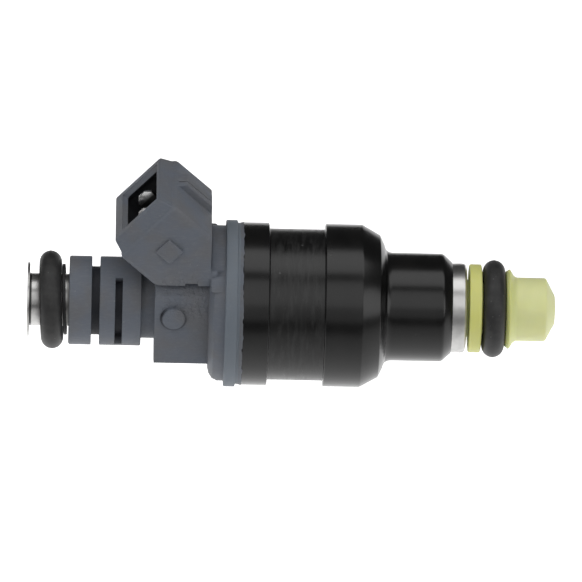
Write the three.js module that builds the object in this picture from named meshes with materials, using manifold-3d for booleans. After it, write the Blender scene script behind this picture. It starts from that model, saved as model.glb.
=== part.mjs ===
// A top-feed electromagnetic fuel injector, built as it comes apart on a bench.
// Millimetres. X runs along the injector from the inlet to the spray tip, Z is up and the plug
// socket leans up and back from the barrel. The origin is on the axis, in the middle of the
// lower O-ring. Every turned piece shares one axis and one number of sides.

import * as THREE from 'three';
import { mergeVertices } from 'three/addons/utils/BufferGeometryUtils.js';
import Module from 'manifold-3d';

const wasm = await Module();
wasm.setup();

// ---------- clearances ----------
const FIT = 0.05; // radial gap between two turned pieces pressed together
const RUNNING = 0.02; // radial gap where the needle runs in its bore
const SEAT_GAP = 0.02; // along the axis, between parts that rest on each other
const CUT_GAP = 0.3; // around a piece let into a cut
const SIDES = 24; // of every turned piece
const RING_FACETS = 12; // round the section of an O-ring

// ---------- O-rings ----------
const RING_SECTION = 3.4;
const UPPER_RING_OD = 14.7;
const LOWER_RING_OD = 14.6;
const UPPER_RING_LEAN = 2.4; // degrees

// ---------- pintle cap, from the ring groove outwards ----------
const GROOVE_X = -1.73; // the groove's inner wall; the ring lies on the origin
const RING_GROOVE_LONG = 3.73;
const RING_GROOVE_R = LOWER_RING_OD / 2 - RING_SECTION - FIT; // the lower ring grips the cap
const CAP_FLANGE_LONG = 1.77;
const CAP_FLANGE_R = 6.6;
const CAP_FLANGE_X = GROOVE_X - CAP_FLANGE_LONG;
const CAP_NECK_LONG = 0.4;
const CAP_NECK_R = 4.25;
const CAP_LIP_X = GROOVE_X + RING_GROOVE_LONG;
const CAP_LIP_LONG = 1.2;
const CAP_LIP_R = 6.0;
const CHIMNEY_X = CAP_LIP_X + 1.5;
const CHIMNEY_R = 4.75;
const CHIMNEY_LONG = 4.5;
const CAP_CONE_LONG = 1.4;
const CAP_END_R = 2.1;
const SPRAY_R = 1.65;
const SNAP_HIGH = 0.15; // bead inside the cap
const SNAP_X = CAP_LIP_X - 0.8;

// ---------- steel housing, from its nose back ----------
const VALVE_FACE_X = CAP_FLANGE_X - CAP_NECK_LONG;
const VALVE_SHOWS = 2.15; // length of bright valve body between cap and housing
const HOUSING_END_X = VALVE_FACE_X - VALVE_SHOWS;
const NOZZLE_BORE_R = 7.0;
const NECK_WALL = 1.07;
const NECK_R = NOZZLE_BORE_R + NECK_WALL;
const NECK_END_X = HOUSING_END_X - 1.4;
const NECK_LONG = 7.6;
const NECK_X = NECK_END_X - NECK_LONG;
const CRIMP_LONG = 1.55;
const CRIMP_GRIP = 0.35; // how far the nose is rolled in over the valve body
const CRIMP_EDGE = 0.15;
const COIL_SPACE_R = 10.0;
const HOUSING_WALL = 1.3;
const BODY_R = COIL_SPACE_R + HOUSING_WALL;
const RING_HIGH = 0.85;
const RING_R = BODY_R + RING_HIGH; // the two raised rings
const SHOULDER_X = NECK_X - 1.85;
const SHOULDER_DROP = 1.5;
const SECOND_RING_END_X = SHOULDER_X - 2.7;
const SECOND_RING_LONG = 5.5;
const SECOND_RING_X = SECOND_RING_END_X - SECOND_RING_LONG;
const BODY_LONG = 8.4;
const FIRST_RING_END_X = SECOND_RING_X - BODY_LONG;
const FIRST_RING_LONG = 3.9;
const HOUSING_X = FIRST_RING_END_X - FIRST_RING_LONG;
const COIL_FLOOR_X = SHOULDER_X - 5.1;
const ARMATURE_BORE_R = 5.0;
const PLATE_SEAT_X = NECK_X + 1.7;

// ---------- grey moulding, from the housing back ----------
const STEP_LONG = 0.8;
const STEP_R = RING_R - 0.1;
const FLANGE_THICK = 1.75;
const FLANGE_R = RING_R + 0.3;
const FLANGE_X = HOUSING_X - STEP_LONG - FLANGE_THICK;
const COLLAR_LONG = 2.45;
const COLLAR_R = BODY_R + 0.3;
const COLLAR_ROUND = 1.6;
const COLLAR_X = FLANGE_X - COLLAR_LONG;
const BLOCK_LONG = 8.0;
const BLOCK_R = 9.1;
const BLOCK_HALF_WIDTH = 7.4;
const BLOCK_CORNER_Z = -6.24; // the flanks go down to here
const BLOCK_X = COLLAR_X - BLOCK_LONG;
const WAIST_LONG = 2.0;
const WAIST_R = 5.45;
const WAIST_X = BLOCK_X - WAIST_LONG;
const BARREL_R = 6.625;
const SECOND_RIB_LONG = 6.2;
const CLIP_GROOVE_WIDTH = 1.2;
const CLIP_GROOVE_R = 5.1;
const CLIP_GROOVE_X = WAIST_X - SECOND_RIB_LONG - CLIP_GROOVE_WIDTH;
const FIRST_RIB_LONG = 3.39;
const BARREL_X = CLIP_GROOVE_X - FIRST_RIB_LONG;
const SLOT_X = WAIST_X - 3.9; // narrow slot across the second rib
const SLOT_WIDTH = 1.1;
const SLOT_FROM = -45; // degrees above the level, on the near side
const SLOT_TO = 61;
const BOSS_X = BLOCK_X + 2.8;
const BOSS_Z = 1.5;
const BOSS_R = 1.8;
const BOSS_HIGH = 0.45;

// ---------- inlet tube, which is also the magnet's core ----------
const TUBE_SHOWS = 5.86; // bright tube between the lip and the moulding
const TUBE_R = UPPER_RING_OD / 2 - RING_SECTION - FIT; // the upper ring grips the tube
const TUBE_WALL = 0.8;
const TUBE_BORE_R = TUBE_R - TUBE_WALL;
const LIP_THICK = 0.35;
const LIP_R = 5.55;
const LIP_X = BARREL_X - TUBE_SHOWS - LIP_THICK;
const UPPER_RING_X = BARREL_X - 2.6;
const BACKING_THICK = 0.45;
const CORE_BORE_R = 2.0;
const CORE_END_X = COIL_FLOOR_X + 1.04;
const FILTER_LENGTH = 10;

// ---------- plug socket ----------
const SOCKET_TILT = 42.5; // degrees back from the axis
const MOUTH_X = BLOCK_X - 2.92;
const MOUTH_Z = 17.56;
const CAVITY_WIDE = 11.2; // across, along Y
const CAVITY_DEEP = 8.2; // the other way
const CAVITY_SHIFT = 0.45; // the wall on the upper face is the thinner one
const CAVITY_CORNER = 1.3;
const LEAD_IN = 0.6; // the flare at the mouth
const CAVITY_LONG = 9.5;
const FLANK_WALL = 2.0;
const FACE_WALL = 1.85;
const SOCKET_WIDE = CAVITY_WIDE + 2 * FLANK_WALL;
const SOCKET_DEEP = CAVITY_DEEP + 2 * FACE_WALL;
const SOCKET_CORNER = 0.6;
const MOUTH_BEVEL = 0.65;
const MOUTH_BEVEL_LONG = 1.9;
const SOCKET_LONG = 15.9;
const SOCKET_FOOT_Z = 7.15; // the flanks end here, above the block's flats
const SOCKET_BACK_X = COLLAR_X + 0.2; // the socket is cut off square here
const LUG_SIDE = 2.9; // square latch lug on each flank
const LUG_HIGH = 0.55;
const LUG_DEPTH = 6.63; // behind the mouth
const KEY_HIGH = 1.0; // two key ribs on the upper face
const KEY_FOOT = 0.8; // how far each is rooted in the wall
const KEY_START = 2.6; // behind the mouth, with a ramp of its own height
const KEY_RIBS = [[-0.35, 0.75], [1.05, 3.2]]; // from and to, along Y

// ---------- solenoid ----------
const FLUX_PLATE_X = HOUSING_X - 0.9;
const FLUX_PLATE_THICK = 1.45;
const BOBBIN_R = COIL_SPACE_R - 0.4;
const BOBBIN_FLANGE = 1.0;
const BOBBIN_FLOOR = 2.2;
const BOBBIN_HUB_WALL = 0.65;
const WINDING_R = BOBBIN_R - 1.0;
const COIL_SEAL = 1.2; // section of both coil seals
const SEAL_POCKET_R = 6.6;

// ---------- terminals and coil leads ----------
const BLADE_PITCH = 5.0;
const BLADE_WIDE = 2.8;
const BLADE_THICK = 0.8;
const BLADE_SETBACK = 0.8; // the tips sit inside the mouth
const BLADE_FOOT_Z = 6.9; // the foot runs along the barrel at this height
const BLADE_FOOT_WIDE = 2.0;
const LEAD_R = 0.3;

// ---------- valve body and stop plate ----------
const PLATE_THICK = 0.75;
const VALVE_TOP_X = PLATE_SEAT_X + SEAT_GAP + PLATE_THICK + SEAT_GAP;
const VALVE_R = NOZZLE_BORE_R - FIT;
const VALVE_FACE_R = VALVE_R - CRIMP_GRIP;
const VALVE_ROUND = 0.9;
const NOSE_R = 2.9;
const NOSE_END_X = CHIMNEY_X + 1.7;
const VALVE_SEAL = 1.5;
const VALVE_SEAL_X = VALVE_TOP_X + 2.36;
const ORIFICE_R = 0.5;

// ---------- armature, needle and spring ----------
const NEEDLE_LIFT = 0.1;
const POLE_GAP = 0.06; // left between armature and core at full lift
const ARMATURE_GAP = 0.2; // radial, in the housing
const ARMATURE_LONG = 6.0;
const SPRING_SEAT_DEEP = 3.6;
const CROSS_HOLE_R = 0.6;
const STEM_R = 1.47;
const LAND_R = 1.98;
const LAND_LONG = 1.6;
const LAND_FLAT = 1.65; // from the axis to each flat
const NEEDLE_WAIST_R = 1.3;
const LOWER_LAND_X = GROOVE_X + 0.53;
const CONE_X = NOSE_END_X - 2.0;
const PINTLE_R = ORIFICE_R - 0.1;
const PINTLE_END_X = NOSE_END_X + 1.0;
const SLEEVE_R = CORE_BORE_R - FIT;
const SLEEVE_WALL = 0.55;
const SLEEVE_LONG = 14;
const SLEEVE_X = CORE_END_X - 25.04;
const SLIT_WIDTH = 0.4;
const SPRING_WIRE_R = 0.2;
const SPRING_R = CORE_BORE_R - 0.35 - SPRING_WIRE_R; // to the middle of the wire
const SPRING_TURNS = 7;

// ---------- strainer ----------
const STRAINER_SLEEVE_LONG = 2.4;
const STRAINER_SLEEVE_WALL = 0.3;
const STRAINER_WALL = 0.5;
const MESH_WALL = 0.15;
const WINDOWS = 3;

// ---------- materials ----------
function material(color, roughness, metalness) {
  return new THREE.MeshStandardMaterial({ color, roughness, metalness });
}

const steel = () => material(0xc4c6c4, 0.28, 1.0);
const darkSteel = () => material(0x24262a, 0.45, 0.6);
const rubber = () => material(0x26272a, 0.6, 0.0);
const greyPlastic = () => material(0x5c6069, 0.55, 0.0);
const yellowPlastic = () => material(0xc4c886, 0.4, 0.0);
const brass = () => material(0xb5924a, 0.35, 1.0);
const copper = () => material(0xa8552f, 0.35, 1.0);
const blackPlastic = () => material(0x2c2c2e, 0.5, 0.0);
const whitePlastic = () => material(0xcfcdbf, 0.5, 0.0);

// ---------- shapes ----------
const radians = (degrees) => (degrees * Math.PI) / 180;

// A closed outline of [x, radius] pairs turned about the X axis.
function turned(outline) {
  const points = outline.map(([x, r]) => new THREE.Vector2(r, x));
  points.push(points[0].clone());
  const geometry = new THREE.LatheGeometry(points, SIDES);
  geometry.rotateZ(-Math.PI / 2);
  return facingOut(geometry);
}

// Merges shared corners, drops the empty triangles and turns the surface to face out.
function facingOut(geometry) {
  geometry.deleteAttribute('normal');
  geometry.deleteAttribute('uv');
  const merged = mergeVertices(geometry, 1e-4);
  const kept = [];
  const index = merged.index.array;
  for (let i = 0; i < index.length; i += 3) {
    const [a, b, c] = [index[i], index[i + 1], index[i + 2]];
    if (a !== b && b !== c && c !== a) kept.push(a, b, c);
  }
  if (volumeOf(merged.attributes.position, kept) < 0) {
    for (let i = 0; i < kept.length; i += 3) [kept[i], kept[i + 1]] = [kept[i + 1], kept[i]];
  }
  merged.setIndex(kept);
  merged.computeVertexNormals();
  return merged;
}

function volumeOf(position, index) {
  const [a, b, c] = [new THREE.Vector3(), new THREE.Vector3(), new THREE.Vector3()];
  let total = 0;
  for (let i = 0; i < index.length; i += 3) {
    a.fromBufferAttribute(position, index[i]);
    b.fromBufferAttribute(position, index[i + 1]);
    c.fromBufferAttribute(position, index[i + 2]);
    total += a.dot(b.cross(c));
  }
  return total;
}

function toSolid(geometry) {
  const clean = facingOut(geometry.clone());
  const mesh = new wasm.Mesh({
    numProp: 3,
    vertProperties: new Float32Array(clean.attributes.position.array),
    triVerts: new Uint32Array(clean.index.array),
  });
  return new wasm.Manifold(mesh);
}

function toGeometry(solid) {
  const mesh = solid.getMesh();
  const geometry = new THREE.BufferGeometry();
  geometry.setAttribute('position', new THREE.BufferAttribute(mesh.vertProperties, 3));
  geometry.setIndex(new THREE.BufferAttribute(mesh.triVerts, 1));
  geometry.computeVertexNormals();
  return geometry;
}

function box(x0, x1, y0, y1, z0, z1) {
  const geometry = new THREE.BoxGeometry(x1 - x0, y1 - y0, z1 - z0);
  return geometry.translate((x0 + x1) / 2, (y0 + y1) / 2, (z0 + z1) / 2);
}

function rod(x0, x1, radius, y, z, sides) {
  const geometry = new THREE.CylinderGeometry(radius, radius, x1 - x0, sides);
  return geometry.rotateZ(-Math.PI / 2).translate((x0 + x1) / 2, y, z);
}

// A rectangle with round corners, centred.
function roundedRectangle(wide, high, corner, steps) {
  const shape = new THREE.Shape();
  const [w, h] = [wide / 2 - corner, high / 2 - corner];
  const centres = [[w, h], [-w, h], [-w, -h], [w, -h]];
  centres.forEach(([x, y], quarter) => {
    for (let i = 0; i <= steps; i += 1) {
      const angle = (Math.PI / 2) * (quarter + i / steps);
      const [px, py] = [x + corner * Math.cos(angle), y + corner * Math.sin(angle)];
      if (quarter + i === 0) shape.moveTo(px, py);
      else shape.lineTo(px, py);
    }
  });
  shape.closePath();
  return shape;
}

// Points of a round stretch in an outline of [x, radius] pairs, angles in degrees.
function arc(x, r, radius, from, to, steps) {
  const points = [];
  for (let i = 0; i <= steps; i += 1) {
    const angle = radians(from + ((to - from) * i) / steps);
    points.push([x + radius * Math.cos(angle), r + radius * Math.sin(angle)]);
  }
  return points;
}

function ringOutline(x, outerDiameter, section = RING_SECTION) {
  const points = arc(x, (outerDiameter - section) / 2, section / 2, 0, 360, RING_FACETS);
  return points.slice(0, -1);
}

// Socket frame to part frame: along = into the body, up = across the socket, side = Y.
const along = new THREE.Vector3(Math.cos(radians(SOCKET_TILT)), 0, -Math.sin(radians(SOCKET_TILT)));
const across = new THREE.Vector3(Math.sin(radians(SOCKET_TILT)), 0, Math.cos(radians(SOCKET_TILT)));
const mouth = new THREE.Vector3(MOUTH_X, 0, MOUTH_Z);

// Extruded shapes have their own X along Y, their Y across the socket and their Z into it.
function intoSocket(geometry, depth) {
  const frame = new THREE.Matrix4().makeBasis(new THREE.Vector3(0, -1, 0), across, along);
  const place = mouth.clone().addScaledVector(along, depth);
  return geometry.applyMatrix4(frame.setPosition(place));
}

const prism = (shape, depth) => new THREE.ExtrudeGeometry(shape, { depth, bevelEnabled: false });

// ---------- inlet end ----------
function inletTube() {
  const lipEnd = LIP_X + LIP_THICK;
  const filterEnd = LIP_X + FILTER_LENGTH + 1;
  return turned([
    [LIP_X, TUBE_BORE_R],
    [LIP_X, LIP_R - 0.15],
    [LIP_X + 0.15, LIP_R],
    [lipEnd, LIP_R],
    [lipEnd, TUBE_R],
    [CORE_END_X, TUBE_R],
    [CORE_END_X, CORE_BORE_R],
    [filterEnd + 0.6, CORE_BORE_R],
    [filterEnd, TUBE_BORE_R],
  ]);
}

function upperORing() {
  const ring = turned(ringOutline(0, UPPER_RING_OD));
  ring.rotateY(radians(-UPPER_RING_LEAN));
  return ring.translate(UPPER_RING_X, 0, 0);
}

// The backing ring lies against the O-ring, and leans with it.
function upperBackingRing() {
  const start = RING_SECTION / 2 + FIT;
  const end = start + BACKING_THICK;
  const [inner, outer] = [TUBE_R + 3 * FIT, LIP_R - 0.25];
  const ring = turned([[start, inner], [start, outer], [end, outer], [end, inner]]);
  return ring.rotateY(radians(-UPPER_RING_LEAN)).translate(UPPER_RING_X, 0, 0);
}

const strainerR = TUBE_BORE_R - FIT;
const frameR = strainerR - STRAINER_SLEEVE_WALL - FIT;
const meshR = frameR - STRAINER_WALL - FIT;
const strainerX = LIP_X + 0.6;

function strainerSleeve() {
  const end = strainerX + STRAINER_SLEEVE_LONG;
  const inner = strainerR - STRAINER_SLEEVE_WALL;
  return turned([[strainerX, inner], [strainerX, strainerR], [end, strainerR], [end, inner]]);
}

function strainerFrame() {
  const start = strainerX + 0.2;
  const end = LIP_X + FILTER_LENGTH;
  const cup = turned([
    [start, frameR - STRAINER_WALL],
    [start, frameR],
    [end, frameR],
    [end, 0],
    [end - STRAINER_WALL, 0],
    [end - STRAINER_WALL, frameR - STRAINER_WALL],
  ]);
  let solid = toSolid(cup);
  const [from, to] = [strainerX + STRAINER_SLEEVE_LONG + 0.4, end - 1];
  for (let i = 0; i < WINDOWS; i += 1) {
    const window = box(from, to, -frameR * 0.6, frameR * 0.6, 0, TUBE_R);
    window.rotateX(radians(30 + (360 / WINDOWS) * i));
    solid = solid.subtract(toSolid(window));
  }
  return toGeometry(solid);
}

function strainerMesh() {
  const start = strainerX + STRAINER_SLEEVE_LONG;
  const end = LIP_X + FILTER_LENGTH - STRAINER_WALL - FIT;
  const inner = meshR - MESH_WALL;
  return turned([[start, inner], [start, meshR], [end, meshR], [end, inner]]);
}

// ---------- grey moulding ----------
function barrelOutline() {
  const flangeEnd = FLANGE_X + FLANGE_THICK;
  const bore = TUBE_R + FIT;
  const collarCentre = [COLLAR_X + 0.2 + COLLAR_ROUND, COLLAR_R - COLLAR_ROUND];
  const grooveEnd = CLIP_GROOVE_X + CLIP_GROOVE_WIDTH;
  const pocketX = FLUX_PLATE_X - FIT;
  return [
    [BARREL_X, bore],
    [BARREL_X, BARREL_R - 0.2],
    [BARREL_X + 0.2, BARREL_R],
    [CLIP_GROOVE_X, BARREL_R],
    [CLIP_GROOVE_X, CLIP_GROOVE_R],
    [grooveEnd, CLIP_GROOVE_R],
    [grooveEnd, BARREL_R],
    [WAIST_X, BARREL_R],
    [WAIST_X, WAIST_R],
    [BLOCK_X, WAIST_R],
    [BLOCK_X, BLOCK_R - 0.15],
    [BLOCK_X + 0.15, BLOCK_R],
    [COLLAR_X, BLOCK_R],
    ...arc(collarCentre[0], collarCentre[1], COLLAR_ROUND, 170, 90, 4),
    [FLANGE_X, COLLAR_R],
    [FLANGE_X, FLANGE_R],
    [flangeEnd, FLANGE_R],
    [flangeEnd, STEP_R],
    [HOUSING_X - SEAT_GAP, STEP_R],
    [HOUSING_X - SEAT_GAP, COIL_SPACE_R],
    [pocketX, COIL_SPACE_R],
    [pocketX, bore],
  ];
}

function socketShell() {
  const [wide, deep] = [SOCKET_WIDE - 2 * MOUTH_BEVEL, SOCKET_DEEP - 2 * MOUTH_BEVEL];
  const shape = roundedRectangle(wide, deep, SOCKET_CORNER - MOUTH_BEVEL / 2, 3);
  const geometry = new THREE.ExtrudeGeometry(shape, {
    depth: SOCKET_LONG - MOUTH_BEVEL_LONG,
    bevelEnabled: true,
    bevelThickness: MOUTH_BEVEL_LONG,
    bevelSize: MOUTH_BEVEL,
    bevelSegments: 1,
  });
  return intoSocket(geometry, MOUTH_BEVEL_LONG);
}

function socketCavity() {
  const shape = roundedRectangle(CAVITY_WIDE, CAVITY_DEEP, CAVITY_CORNER, 3);
  const flare = new THREE.ExtrudeGeometry(shape, {
    depth: 1,
    bevelEnabled: true,
    bevelThickness: LEAD_IN,
    bevelSize: LEAD_IN,
    bevelSegments: 1,
  });
  const hole = prism(shape, CAVITY_LONG + 1);
  for (const geometry of [hole, flare]) geometry.translate(0, CAVITY_SHIFT, 0);
  return toSolid(intoSocket(hole, -1)).add(toSolid(intoSocket(flare, -1)));
}

// A point in the part's X-Z plane, given its depth in the socket and height across it.
function socketPoint(depth, high) {
  const point = mouth.clone().addScaledVector(along, depth).addScaledVector(across, high);
  return new THREE.Vector2(point.x, point.z);
}

// A flat outline in the X-Z plane, made as thick as given and centred on one Y.
function flatPiece(points, thick, y) {
  const geometry = prism(new THREE.Shape(points), thick);
  return geometry.rotateX(Math.PI / 2).translate(0, y + thick / 2, 0);
}

function keyRib([from, to]) {
  const face = SOCKET_DEEP / 2;
  const points = [
    socketPoint(KEY_START - KEY_FOOT, face - KEY_FOOT),
    socketPoint(KEY_START + KEY_HIGH, face + KEY_HIGH),
    socketPoint(SOCKET_LONG, face + KEY_HIGH),
    socketPoint(SOCKET_LONG, face - KEY_FOOT),
  ];
  return flatPiece(points, to - from, (from + to) / 2);
}

function latchLugs() {
  const wide = SOCKET_WIDE + 2 * LUG_HIGH;
  const [near, far] = [LUG_DEPTH - LUG_SIDE / 2, LUG_DEPTH + LUG_SIDE / 2];
  const half = LUG_SIDE / 2;
  const corners = [[near, -half], [far, -half], [far, half], [near, half]];
  return flatPiece(corners.map(([depth, high]) => socketPoint(depth, high)), wide, 0);
}

// The blade lies flat beside the centre plane: up the socket, then along the barrel.
function bladeOutline(grow, tipDepth, footEnd) {
  const half = BLADE_WIDE / 2 + grow;
  const footHalf = BLADE_FOOT_WIDE / 2 + grow;
  const [low, high] = [BLADE_FOOT_Z - footHalf, BLADE_FOOT_Z + footHalf];
  const [upper, lower] = [socketPoint(tipDepth, half), socketPoint(tipDepth, -half)];
  const slope = along.z / along.x;
  const upperBend = new THREE.Vector2(upper.x + (high - upper.y) / slope, high);
  const lowerBend = new THREE.Vector2(lower.x + (low - lower.y) / slope, low);
  const foot = [new THREE.Vector2(footEnd, low), new THREE.Vector2(footEnd, high)];
  return [lower, lowerBend, ...foot, upperBend, upper];
}

const bladeFootEnd = FLUX_PLATE_X - 0.45;

function terminal(side) {
  const outline = bladeOutline(0, BLADE_SETBACK, bladeFootEnd);
  return flatPiece(outline, BLADE_THICK, (side * BLADE_PITCH) / 2);
}

function terminalSlot(side) {
  const outline = bladeOutline(CUT_GAP, CAVITY_LONG - 1, FLUX_PLATE_X + FIT);
  return flatPiece(outline, BLADE_THICK + 2 * CUT_GAP, (side * BLADE_PITCH) / 2);
}

function ribSlot() {
  const outer = BARREL_R * 2;
  const shape = new THREE.Shape();
  shape.moveTo(CLIP_GROOVE_R * Math.cos(radians(SLOT_FROM)), CLIP_GROOVE_R * Math.sin(radians(SLOT_FROM)));
  shape.lineTo(outer * Math.cos(radians(SLOT_FROM)), outer * Math.sin(radians(SLOT_FROM)));
  shape.lineTo(outer * Math.cos(radians(SLOT_TO)), outer * Math.sin(radians(SLOT_TO)));
  for (let i = 0; i <= 5; i += 1) {
    const angle = radians(SLOT_TO + ((SLOT_FROM - SLOT_TO) * i) / 5);
    if (i < 5) shape.lineTo(CLIP_GROOVE_R * Math.cos(angle), CLIP_GROOVE_R * Math.sin(angle));
  }
  // the outline's own X points to -Y and its Y up; it is cut along the barrel
  const frame = new THREE.Matrix4().makeBasis(
    new THREE.Vector3(0, -1, 0),
    new THREE.Vector3(0, 0, 1),
    new THREE.Vector3(-1, 0, 0),
  );
  const geometry = prism(shape, SLOT_WIDTH).applyMatrix4(frame);
  return geometry.translate(SLOT_X + SLOT_WIDTH, 0, 0);
}

function sideBoss() {
  const disc = new THREE.CylinderGeometry(BOSS_R, BOSS_R, BOSS_HIGH + 1, 20);
  return disc.translate(BOSS_X, -BLOCK_HALF_WIDTH - BOSS_HIGH + (BOSS_HIGH + 1) / 2, BOSS_Z);
}

// Behind the socket the collar keeps its full radius, so that the socket leans on it.
function shoulderWeb() {
  const [start, inner] = [COLLAR_X + 0.15, BLOCK_R - 1.5];
  return turned([[start, inner], [start, COLLAR_R], [FLANGE_X + 0.5, COLLAR_R], [FLANGE_X + 0.5, inner]]);
}

function connectorBody() {
  const far = 40;
  let barrel = toSolid(turned(barrelOutline()));
  for (const side of [-1, 1]) {
    const [near, out] = side > 0 ? [BLOCK_HALF_WIDTH, far] : [-far, -BLOCK_HALF_WIDTH];
    barrel = barrel.subtract(toSolid(box(BLOCK_X - 1, COLLAR_X, near, out, -far, far)));
  }
  const flanks = box(BLOCK_X, COLLAR_X + 0.1, -BLOCK_HALF_WIDTH, BLOCK_HALF_WIDTH, BLOCK_CORNER_Z, 0);
  const throat = rod(BLOCK_X - 1, COLLAR_X + 1, BLOCK_R - 1.5, 0, 0, 24);
  barrel = barrel.add(toSolid(flanks).subtract(toSolid(throat)));
  barrel = barrel.add(toSolid(shoulderWeb()).subtract(toSolid(box(-far * 3, far, -far, far, -far, SOCKET_FOOT_Z))));
  let socket = toSolid(socketShell()).add(toSolid(latchLugs()));
  for (const rib of KEY_RIBS) socket = socket.add(toSolid(keyRib(rib)));
  socket = socket.subtract(toSolid(box(-far * 3, far, -far, far, -far, SOCKET_FOOT_Z)));
  socket = socket.subtract(toSolid(box(SOCKET_BACK_X, far, -far, far, -far, far)));
  let body = barrel.add(socket).add(toSolid(sideBoss()));
  body = body.subtract(socketCavity()).subtract(toSolid(ribSlot()));
  for (const side of [-1, 1]) body = body.subtract(toSolid(terminalSlot(side)));
  return toGeometry(body);
}

// ---------- solenoid ----------
const bobbinX = FLUX_PLATE_X + FLUX_PLATE_THICK + FIT;
const bobbinEndX = COIL_FLOOR_X - SEAT_GAP;
const hubBore = TUBE_R + FIT;
const sealPocket = COIL_SEAL + 2 * FIT;
const hubR = hubBore + sealPocket + BOBBIN_HUB_WALL;

function coilLead(side) {
  const start = bladeFootEnd + FIT;
  const end = bobbinX + BOBBIN_FLANGE - FIT;
  return rod(start, end, LEAD_R, (side * BLADE_PITCH) / 2, BLADE_FOOT_Z, 8);
}

// The passage for a lead, through the flux plate or the bobbin's upper flange.
function leadHole(side) {
  const [start, end] = [FLUX_PLATE_X - 1, bobbinX + BOBBIN_FLANGE + FIT];
  return toSolid(rod(start, end, LEAD_R + CUT_GAP, (side * BLADE_PITCH) / 2, BLADE_FOOT_Z, 8));
}

function withLeadHoles(geometry) {
  return toGeometry(toSolid(geometry).subtract(leadHole(-1)).subtract(leadHole(1)));
}

function fluxPlate() {
  const [start, end] = [FLUX_PLATE_X, FLUX_PLATE_X + FLUX_PLATE_THICK];
  const [inner, outer] = [hubBore, COIL_SPACE_R - FIT];
  return withLeadHoles(turned([[start, inner], [start, outer], [end, outer], [end, inner]]));
}

function coilBobbin() {
  const [pocketIn, pocketOut] = [SEAL_POCKET_R, SEAL_POCKET_R + sealPocket];
  return withLeadHoles(turned([
    [bobbinX, hubBore + sealPocket],
    [bobbinX, BOBBIN_R],
    [bobbinX + BOBBIN_FLANGE, BOBBIN_R],
    [bobbinX + BOBBIN_FLANGE, hubR],
    [bobbinEndX - BOBBIN_FLOOR, hubR],
    [bobbinEndX - BOBBIN_FLOOR, BOBBIN_R],
    [bobbinEndX, BOBBIN_R],
    [bobbinEndX, pocketOut],
    [bobbinEndX - sealPocket, pocketOut],
    [bobbinEndX - sealPocket, pocketIn],
    [bobbinEndX, pocketIn],
    [bobbinEndX, hubBore],
    [bobbinX + sealPocket, hubBore],
    [bobbinX + sealPocket, hubBore + sealPocket],
  ]));
}

function coilWinding() {
  const start = bobbinX + BOBBIN_FLANGE + FIT;
  const end = bobbinEndX - BOBBIN_FLOOR - FIT;
  const inner = hubR + FIT;
  return turned([[start, inner], [start, WINDING_R], [end, WINDING_R], [end, inner]]);
}

function smallSeal(x, innerR, section) {
  return turned(ringOutline(x, 2 * (innerR + section), section));
}

function upperCoilSeal() {
  return smallSeal(bobbinX + sealPocket / 2, hubBore + FIT, COIL_SEAL);
}

function lowerCoilSeal() {
  return smallSeal(bobbinEndX - sealPocket / 2, SEAL_POCKET_R + FIT, COIL_SEAL);
}

// ---------- housing ----------
function housing() {
  const fillet = NECK_X - SHOULDER_X - 0.7;
  return turned([
    [HOUSING_X, COIL_SPACE_R],
    [HOUSING_X, RING_R - 0.2],
    [HOUSING_X + 0.2, RING_R],
    [FIRST_RING_END_X, RING_R],
    [FIRST_RING_END_X, BODY_R],
    [SECOND_RING_X, BODY_R],
    [SECOND_RING_X, RING_R],
    [SECOND_RING_END_X, RING_R],
    [SHOULDER_X, RING_R - SHOULDER_DROP],
    ...arc(NECK_X, NECK_R + fillet, fillet, 180, 270, 3),
    [NECK_END_X, NECK_R],
    [HOUSING_END_X, VALVE_FACE_R + FIT + CRIMP_EDGE],
    [HOUSING_END_X, VALVE_FACE_R + FIT],
    [HOUSING_END_X - CRIMP_LONG, NOZZLE_BORE_R],
    [PLATE_SEAT_X, NOZZLE_BORE_R],
    [PLATE_SEAT_X, ARMATURE_BORE_R],
    [COIL_FLOOR_X, ARMATURE_BORE_R],
    [COIL_FLOOR_X, COIL_SPACE_R],
  ]);
}

// ---------- valve ----------
function stopPlate() {
  const start = PLATE_SEAT_X + SEAT_GAP;
  const end = start + PLATE_THICK;
  const [inner, outer] = [STEM_R + 0.15, NOZZLE_BORE_R - FIT];
  return turned([[start, inner], [start, outer], [end, outer], [end, inner]]);
}

const guideBore = LAND_R + RUNNING;
const coneFoot = CONE_X + NEEDLE_WAIST_R; // x + radius is constant along the needle's cone
const seatFoot = coneFoot + SEAT_GAP * Math.SQRT2;

function valveBody() {
  const [sealStart, sealEnd] = [VALVE_SEAL_X - VALVE_SEAL / 2 - FIT, VALVE_SEAL_X + VALVE_SEAL / 2 + FIT];
  const sealFloor = VALVE_R - VALVE_SEAL - FIT;
  return turned([
    [VALVE_TOP_X, guideBore],
    [VALVE_TOP_X, VALVE_R - 0.3],
    [VALVE_TOP_X + 0.3, VALVE_R],
    [sealStart, VALVE_R],
    [sealStart, sealFloor],
    [sealEnd, sealFloor],
    [sealEnd, VALVE_R],
    [HOUSING_END_X - CRIMP_LONG - FIT, VALVE_R],
    [HOUSING_END_X - FIT, VALVE_FACE_R],
    ...arc(VALVE_FACE_X - VALVE_ROUND, VALVE_FACE_R - VALVE_ROUND, VALVE_ROUND, 90, 0, 3),
    [VALVE_FACE_X, NOSE_R],
    [SNAP_X - SNAP_HIGH * 2, NOSE_R],
    [SNAP_X - SNAP_HIGH, NOSE_R - SNAP_HIGH],
    [SNAP_X + SNAP_HIGH, NOSE_R - SNAP_HIGH],
    [SNAP_X + SNAP_HIGH * 2, NOSE_R],
    [NOSE_END_X, NOSE_R],
    [NOSE_END_X, ORIFICE_R],
    [seatFoot - ORIFICE_R, ORIFICE_R],
    [seatFoot - guideBore, guideBore],
  ]);
}

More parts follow.
